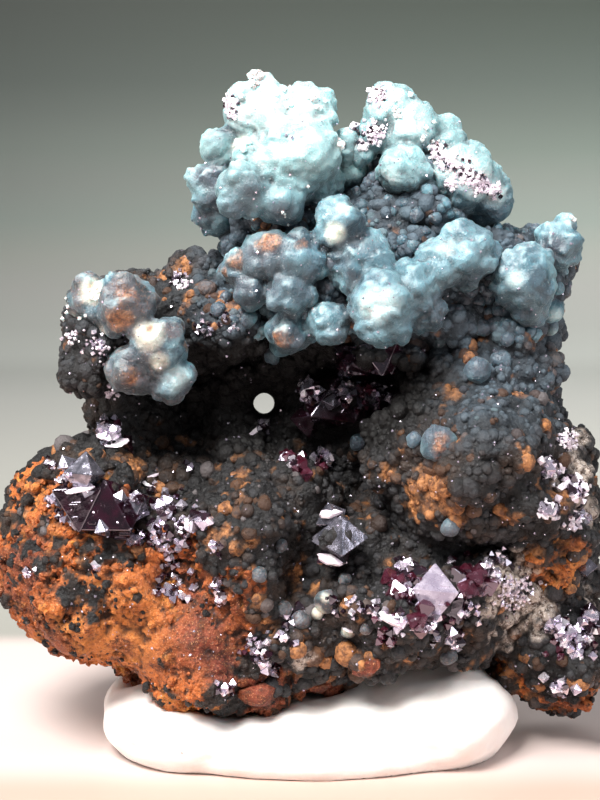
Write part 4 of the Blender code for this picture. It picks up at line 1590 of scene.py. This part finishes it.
def leaf_shape(rng):
    """A thin leaf with a broken outline, about one unit long, wide and thick."""
    sides = 7
    outline = []
    for number in range(sides):
        angle = 2.0 * math.pi * (number + rng.uniform(-0.3, 0.3)) / sides
        reach = rng.uniform(0.6, 1.0)
        outline.append((math.cos(angle) * reach, math.sin(angle) * reach))
    points = [(0.0, 0.0, -0.5), (0.0, 0.0, 0.5)]
    points += [(x, y, side) for side in (-0.4, 0.4) for x, y in outline]
    faces = []
    for number in range(sides):
        low, low_next = 2 + number, 2 + (number + 1) % sides
        high, high_next = low + sides, low_next + sides
        faces += [(0, low_next, low), (1, high, high_next)]
        faces += [(low, low_next, high_next), (low, high_next, high)]
    return np.array(points), np.array(faces)


def plate_piece(finish):
    """Pale plates lying on the rock, each of a few thin leaves."""
    rng = random.Random(81)
    shapes = []
    for plate, place, _, pixel in seen_patches(TREES.values(), PLATES):
        for _ in range(5):
            leaf, faces = leaf_shape(rng)
            tilt = Euler([rng.uniform(-most, most) for most in (0.15, 0.15, 0.4)])
            leaf = leaf @ np.array(tilt.to_matrix()).T
            leaf = leaf * rng.uniform(0.6, 0.9) + [rng.uniform(-0.3, 0.3) for _ in range(3)]
            leaf = leaf * np.array((plate.long, plate.long * 0.45, plate.thick)) * 0.6
            leaf = leaf @ turned(plate.turn) * pixel
            shapes.append((leaf + np.array(place), faces))
    finish_piece(joined("pale_plates", shapes), finish, None, smooth=False)


def glitter_piece(finish):
    """Specks of crystal all over the black crust that shows, pale and bright as painted glints.
    """
    rng = random.Random(41)
    octahedron, faces = crystal_shape(0.0, 0.0)
    shapes = []
    for _ in range(bpy.context.scene.cuprite_surfaces.specks):
        seen = seen_at(TREES.values(), rng.uniform(*SPECKS_ACROSS), rng.uniform(*SPECKS_DOWN))
        if seen is None:
            continue
        radius = 0.05 + 0.07 * rng.random() ** 3
        points = octahedron @ any_turn(rng) * radius
        shapes.append((points + np.array(seen[0]), faces))
    finish_piece(joined("glitter", shapes), finish, None, smooth=False)


def putty_piece():
    """The putty, swollen into the rock that sits in it, and softly folded."""
    made = joined("putty_wad", [node_shape("putty", 0.55)])
    melt(made, 0.38, 8)
    points, out = places(made.data), ways(made.data)
    points[:, 2] = np.maximum(points[:, 2], 0.0)
    above = ramp(points[:, 2], 0.0, 1.2)
    folds = cloud(points, 3.0, 2) * 0.15 + cloud(points, 0.9, 5) * 0.04 - 0.35
    points += out * (folds * above)[:, None]
    points[:, 2] = np.maximum(points[:, 2], 0.0)
    move(made.data, points)
    finish_piece(made, putty_finish(), "putty")


# Stage

# How far back the wall stands and how high up its colours go.
WALL = 190.0
TOP = 60.0

# The floor's front edge and half its width, the wall's height, and the bend between.
FLOOR_FRONT = -700.0
HALF_WIDTH = 900.0
WALL_HEIGHT = 420.0
BEND = 40.0
BEND_STEPS = 12

# The backdrop's colours, from the floor behind the specimen up the wall, darkening upwards as
# painted shade.
BACKDROP = [
    (0.03, (0.29, 0.285, 0.255)),
    (0.22, (0.375, 0.37, 0.34)),
    (0.33, (0.395, 0.395, 0.37)),
    (0.43, (0.37, 0.38, 0.355)),
    (0.478, (0.307, 0.314, 0.293)),
    (0.535, (0.267, 0.270, 0.253)),
    (0.589, (0.219, 0.230, 0.208)),
    (0.64, (0.161, 0.185, 0.166)),
    (0.694, (0.128, 0.144, 0.129)),
    (0.743, (0.094, 0.113, 0.098)),
    (0.792, (0.072, 0.087, 0.076)),
    (0.838, (0.055, 0.068, 0.0596)),
    (0.884, (0.041, 0.0517, 0.0439)),
    (0.93, (0.0305, 0.0389, 0.0321)),
]


# The lights: place, width and height, power in watts and colour.
LIGHTS = {
    "key": ((-60.0, -95.0, 170.0), (85.0, 85.0), 0.95, (1.0, 0.98, 0.95)),
    "right_softbox": ((150.0, -70.0, 70.0), (60.0, 120.0), 0.14, (0.95, 0.97, 1.0)),
    "left_softbox": ((-170.0, -40.0, 60.0), (50.0, 110.0), 0.12, (1.0, 0.97, 0.94)),
    "back_top": ((30.0, 120.0, 150.0), (120.0, 60.0), 0.10, (1.0, 1.0, 1.0)),
}
LIGHT_AIM = Vector((0.0, 0.0, 20.0))


def aimed(name, data, place, aim):
    """A light or camera at a place, turned to look at another."""
    made = linked(name, data)
    made.location = place * MM
    made.rotation_euler = (aim - place).normalized().to_track_quat("-Z", "Y").to_euler()
    return made


def area_light(name, place, size, power, colour):
    """A soft rectangular light that faces the specimen."""
    data = bpy.data.lights.new(name, "AREA")
    data.shape = "RECTANGLE"
    data.size, data.size_y = size[0] * MM, size[1] * MM
    data.energy = power
    data.color = colour
    aimed(name, data, Vector(place), LIGHT_AIM)


def backdrop_finish():
    """Pale floor that turns grey-green behind the specimen, with painted shade darker higher up
    and to the left.
    """
    finish = Finish("backdrop")
    split_place = finish.node("ShaderNodeSeparateXYZ")
    finish.link(finish.place.outputs[0], split_place.inputs[0])
    across, depth, height = split_place.outputs
    far = finish.node("ShaderNodeValToRGB")
    along = finish.math("DIVIDE", depth, 2.0 * WALL)
    along = finish.math("ADD", along, finish.math("DIVIDE", height, 2.0 * TOP))
    finish.link(along, far.inputs[0])
    stops = far.color_ramp.elements
    while len(stops) < len(BACKDROP):
        stops.new(0.5)
    for stop, (place, colour) in zip(stops, BACKDROP):
        stop.position = place
        stop.color = (*colour, 1.0)
    colour = finish.layers(
        (0.58, 0.49, 0.46),
        (finish.span(depth, -18.0, -11.5), (0.51, 0.345, 0.285)),
        (finish.span(depth, -10.5, -5.0), tint("floor")),
        (finish.span(depth, 17.0, 21.0), far.outputs[0]),
    )
    # Painted light: the wall brighter to the right, darker to the left.
    side = finish.span(across, -45.0, 45.0, 1.0, 2.2, "LINEAR")
    higher = finish.span(height, 0.0, 30.0, 0.35, 1.0)
    brighter = finish.mix(1.0, colour, side, "MULTIPLY")
    share = finish.math("MULTIPLY", higher, finish.span(depth, 17.0, 60.0))
    finish.set("Base Color", finish.layers(colour, (share, brighter)))
    finish.set("Roughness", 0.6)
    return finish.material


def floor_and_backdrop():
    """A floor that bends up into a wall."""
    start = WALL - BEND
    profile = [(FLOOR_FRONT, 0.0), (start, 0.0)]
    for number in range(1, BEND_STEPS + 1):
        angle = math.pi / 2 * number / BEND_STEPS
        profile.append((start + BEND * math.sin(angle), BEND * (1 - math.cos(angle))))
    profile.append((WALL, WALL_HEIGHT))
    bm = bmesh.new()
    rows = [
        [bm.verts.new(Vector((x, y, z)) * MM) for x in (-HALF_WIDTH, HALF_WIDTH)]
        for y, z in profile
    ]
    for low, high in zip(rows, rows[1:]):
        bm.faces.new((low[0], low[1], high[1], high[0]))
    floor = object_from(bm, "floor_and_backdrop")
    floor.data.materials.append(backdrop_finish())
    floor.data.shade_smooth()


def sky():
    """Soft light from all round, stronger from above."""
    world = bpy.data.worlds.new("studio")
    bpy.context.scene.world = world
    world.use_nodes = True
    nodes, links = world.node_tree.nodes, world.node_tree.links
    background = nodes["Background"]
    coords = nodes.new("ShaderNodeTexCoord")
    parts = nodes.new("ShaderNodeSeparateXYZ")
    height = nodes.new("ShaderNodeMapRange")
    height.inputs["From Min"].default_value = -0.1
    height.inputs["From Max"].default_value = 0.9
    height.inputs["To Min"].default_value = 0.05
    height.inputs["To Max"].default_value = 0.26
    links.new(coords.outputs["Generated"], parts.inputs[0])
    links.new(parts.outputs["Z"], height.inputs["Value"])
    links.new(height.outputs["Result"], background.inputs["Strength"])
    background.inputs["Color"].default_value = (0.82, 0.86, 0.92, 1.0)


def stage():
    """The floor and backdrop, the camera and the lights."""
    floor_and_backdrop()
    camera = bpy.data.cameras.new("camera")
    camera.lens = LENS
    camera.sensor_width = SENSOR
    camera.clip_start = 0.001
    bpy.context.scene.camera = aimed("camera", camera, eye(), LOOK_AT)
    for name, light in LIGHTS.items():
        area_light(name, *light)
    sky()
    bpy.context.scene.view_settings.view_transform = "Standard"


class CUPRITE_OT_rock(bpy.types.Operator):
    """Grow the gossan and its black crust"""

    bl_idname = "cuprite.rock"
    bl_label = "Rock and black crust"

    def execute(self, context):
        rock_pieces()
        return {"FINISHED"}


class CUPRITE_OT_crust(bpy.types.Operator):
    """Grow the waxy blue-green crust"""

    bl_idname = "cuprite.crust"
    bl_label = "Blue-green crust"

    def execute(self, context):
        solids = [node_shape(node) for node in ("matrix", *CRUSTS)]
        lumps = joined("lumps", solids)
        TREES["lumps"] = tree_of(lumps)
        bpy.data.objects.remove(lumps)
        finish = wax_finish()
        for name in CRUSTS:
            crust_piece(name, finish)
        lone_lump_piece(finish)
        return {"FINISHED"}


class CUPRITE_OT_crystals(bpy.types.Operator):
    """Grow the cuprite crystals, large and small"""

    bl_idname = "cuprite.crystals"
    bl_label = "Cuprite crystals"

    def execute(self, context):
        finishes = {name: crystal_finish(name, *look) for name, look in CRYSTAL_LOOKS.items()}
        dark = crystal_finish(
            "dark_cuprite", tint("crystal"), (0.018, 0.003, 0.008), 0.06, 0.0
        )
        finishes["dark_cuprite"] = dark
        del TREES["skin"], TREES["lumps"]
        for ending, groups, finish in (
            ("_faces", CUPRITE, dark),
            ("_silvered", SILVERED, finishes["silver_cuprite"]),
            ("_lilac", LILAC, finishes["lilac_cuprite"]),
        ):
            for node, crystals in groups.items():
                cuprite_piece(node + ending, crystals, node, finish)
        for name, druses, finish, seed, share in DRUSE_PIECES:
            druse_piece(name, druses, finishes[finish], seed, share)
        wax = bpy.data.materials["waxy_blue_crust"]
        made = druse_piece("blue_crust_tips", TIPS, wax, 9, 1.0)
        mark(made.data, "pale", np.full(len(made.data.vertices), 0.9))
        glitter_piece(finishes["bright_cuprite"])
        plate_piece(finishes["broken_druse"])
        return {"FINISHED"}


class CUPRITE_OT_putty(bpy.types.Operator):
    """Press the putty under the specimen"""

    bl_idname = "cuprite.putty"
    bl_label = "Putty"

    def execute(self, context):
        putty_piece()
        return {"FINISHED"}


class CUPRITE_OT_stage(bpy.types.Operator):
    """Set the floor, the lights and the camera"""

    bl_idname = "cuprite.stage"
    bl_label = "Stage"

    def execute(self, context):
        stage()
        return {"FINISHED"}


OPERATORS = (
    CUPRITE_OT_rock,
    CUPRITE_OT_crust,
    CUPRITE_OT_crystals,
    CUPRITE_OT_putty,
    CUPRITE_OT_stage,
)


class CUPRITE_PT_panel(bpy.types.Panel):
    """Lists the specimen's sizes, colours and steps"""

    bl_idname = "CUPRITE_PT_panel"
    bl_label = "Cuprite specimen"
    bl_space_type = "VIEW_3D"
    bl_region_type = "UI"
    bl_category = "Cuprite"

    def draw(self, context):
        for group in (context.scene.cuprite_surfaces, context.scene.cuprite_colours):
            for name in group.bl_rna.properties.keys():
                if name not in ("rna_type", "name"):
                    self.layout.prop(group, name)
        for operator in OPERATORS:
            self.layout.operator(operator.bl_idname)


CLASSES = (CupriteSurfaces, CupriteColours, *OPERATORS, CUPRITE_PT_panel)


def register():
    """Makes the properties, operators and panel known."""
    for entry in CLASSES:
        bpy.utils.register_class(entry)
    bpy.types.Scene.cuprite_surfaces = bpy.props.PointerProperty(type=CupriteSurfaces)
    bpy.types.Scene.cuprite_colours = bpy.props.PointerProperty(type=CupriteColours)


def unregister():
    """Takes them away again."""
    del bpy.types.Scene.cuprite_colours
    del bpy.types.Scene.cuprite_surfaces
    for entry in reversed(CLASSES):
        bpy.utils.unregister_class(entry)


def main():
    """Builds the whole scene."""
    register()
    bpy.ops.cuprite.rock()
    bpy.ops.cuprite.crust()
    bpy.ops.cuprite.crystals()
    bpy.ops.cuprite.putty()
    bpy.ops.cuprite.stage()


if __name__ == "__main__":
    main()
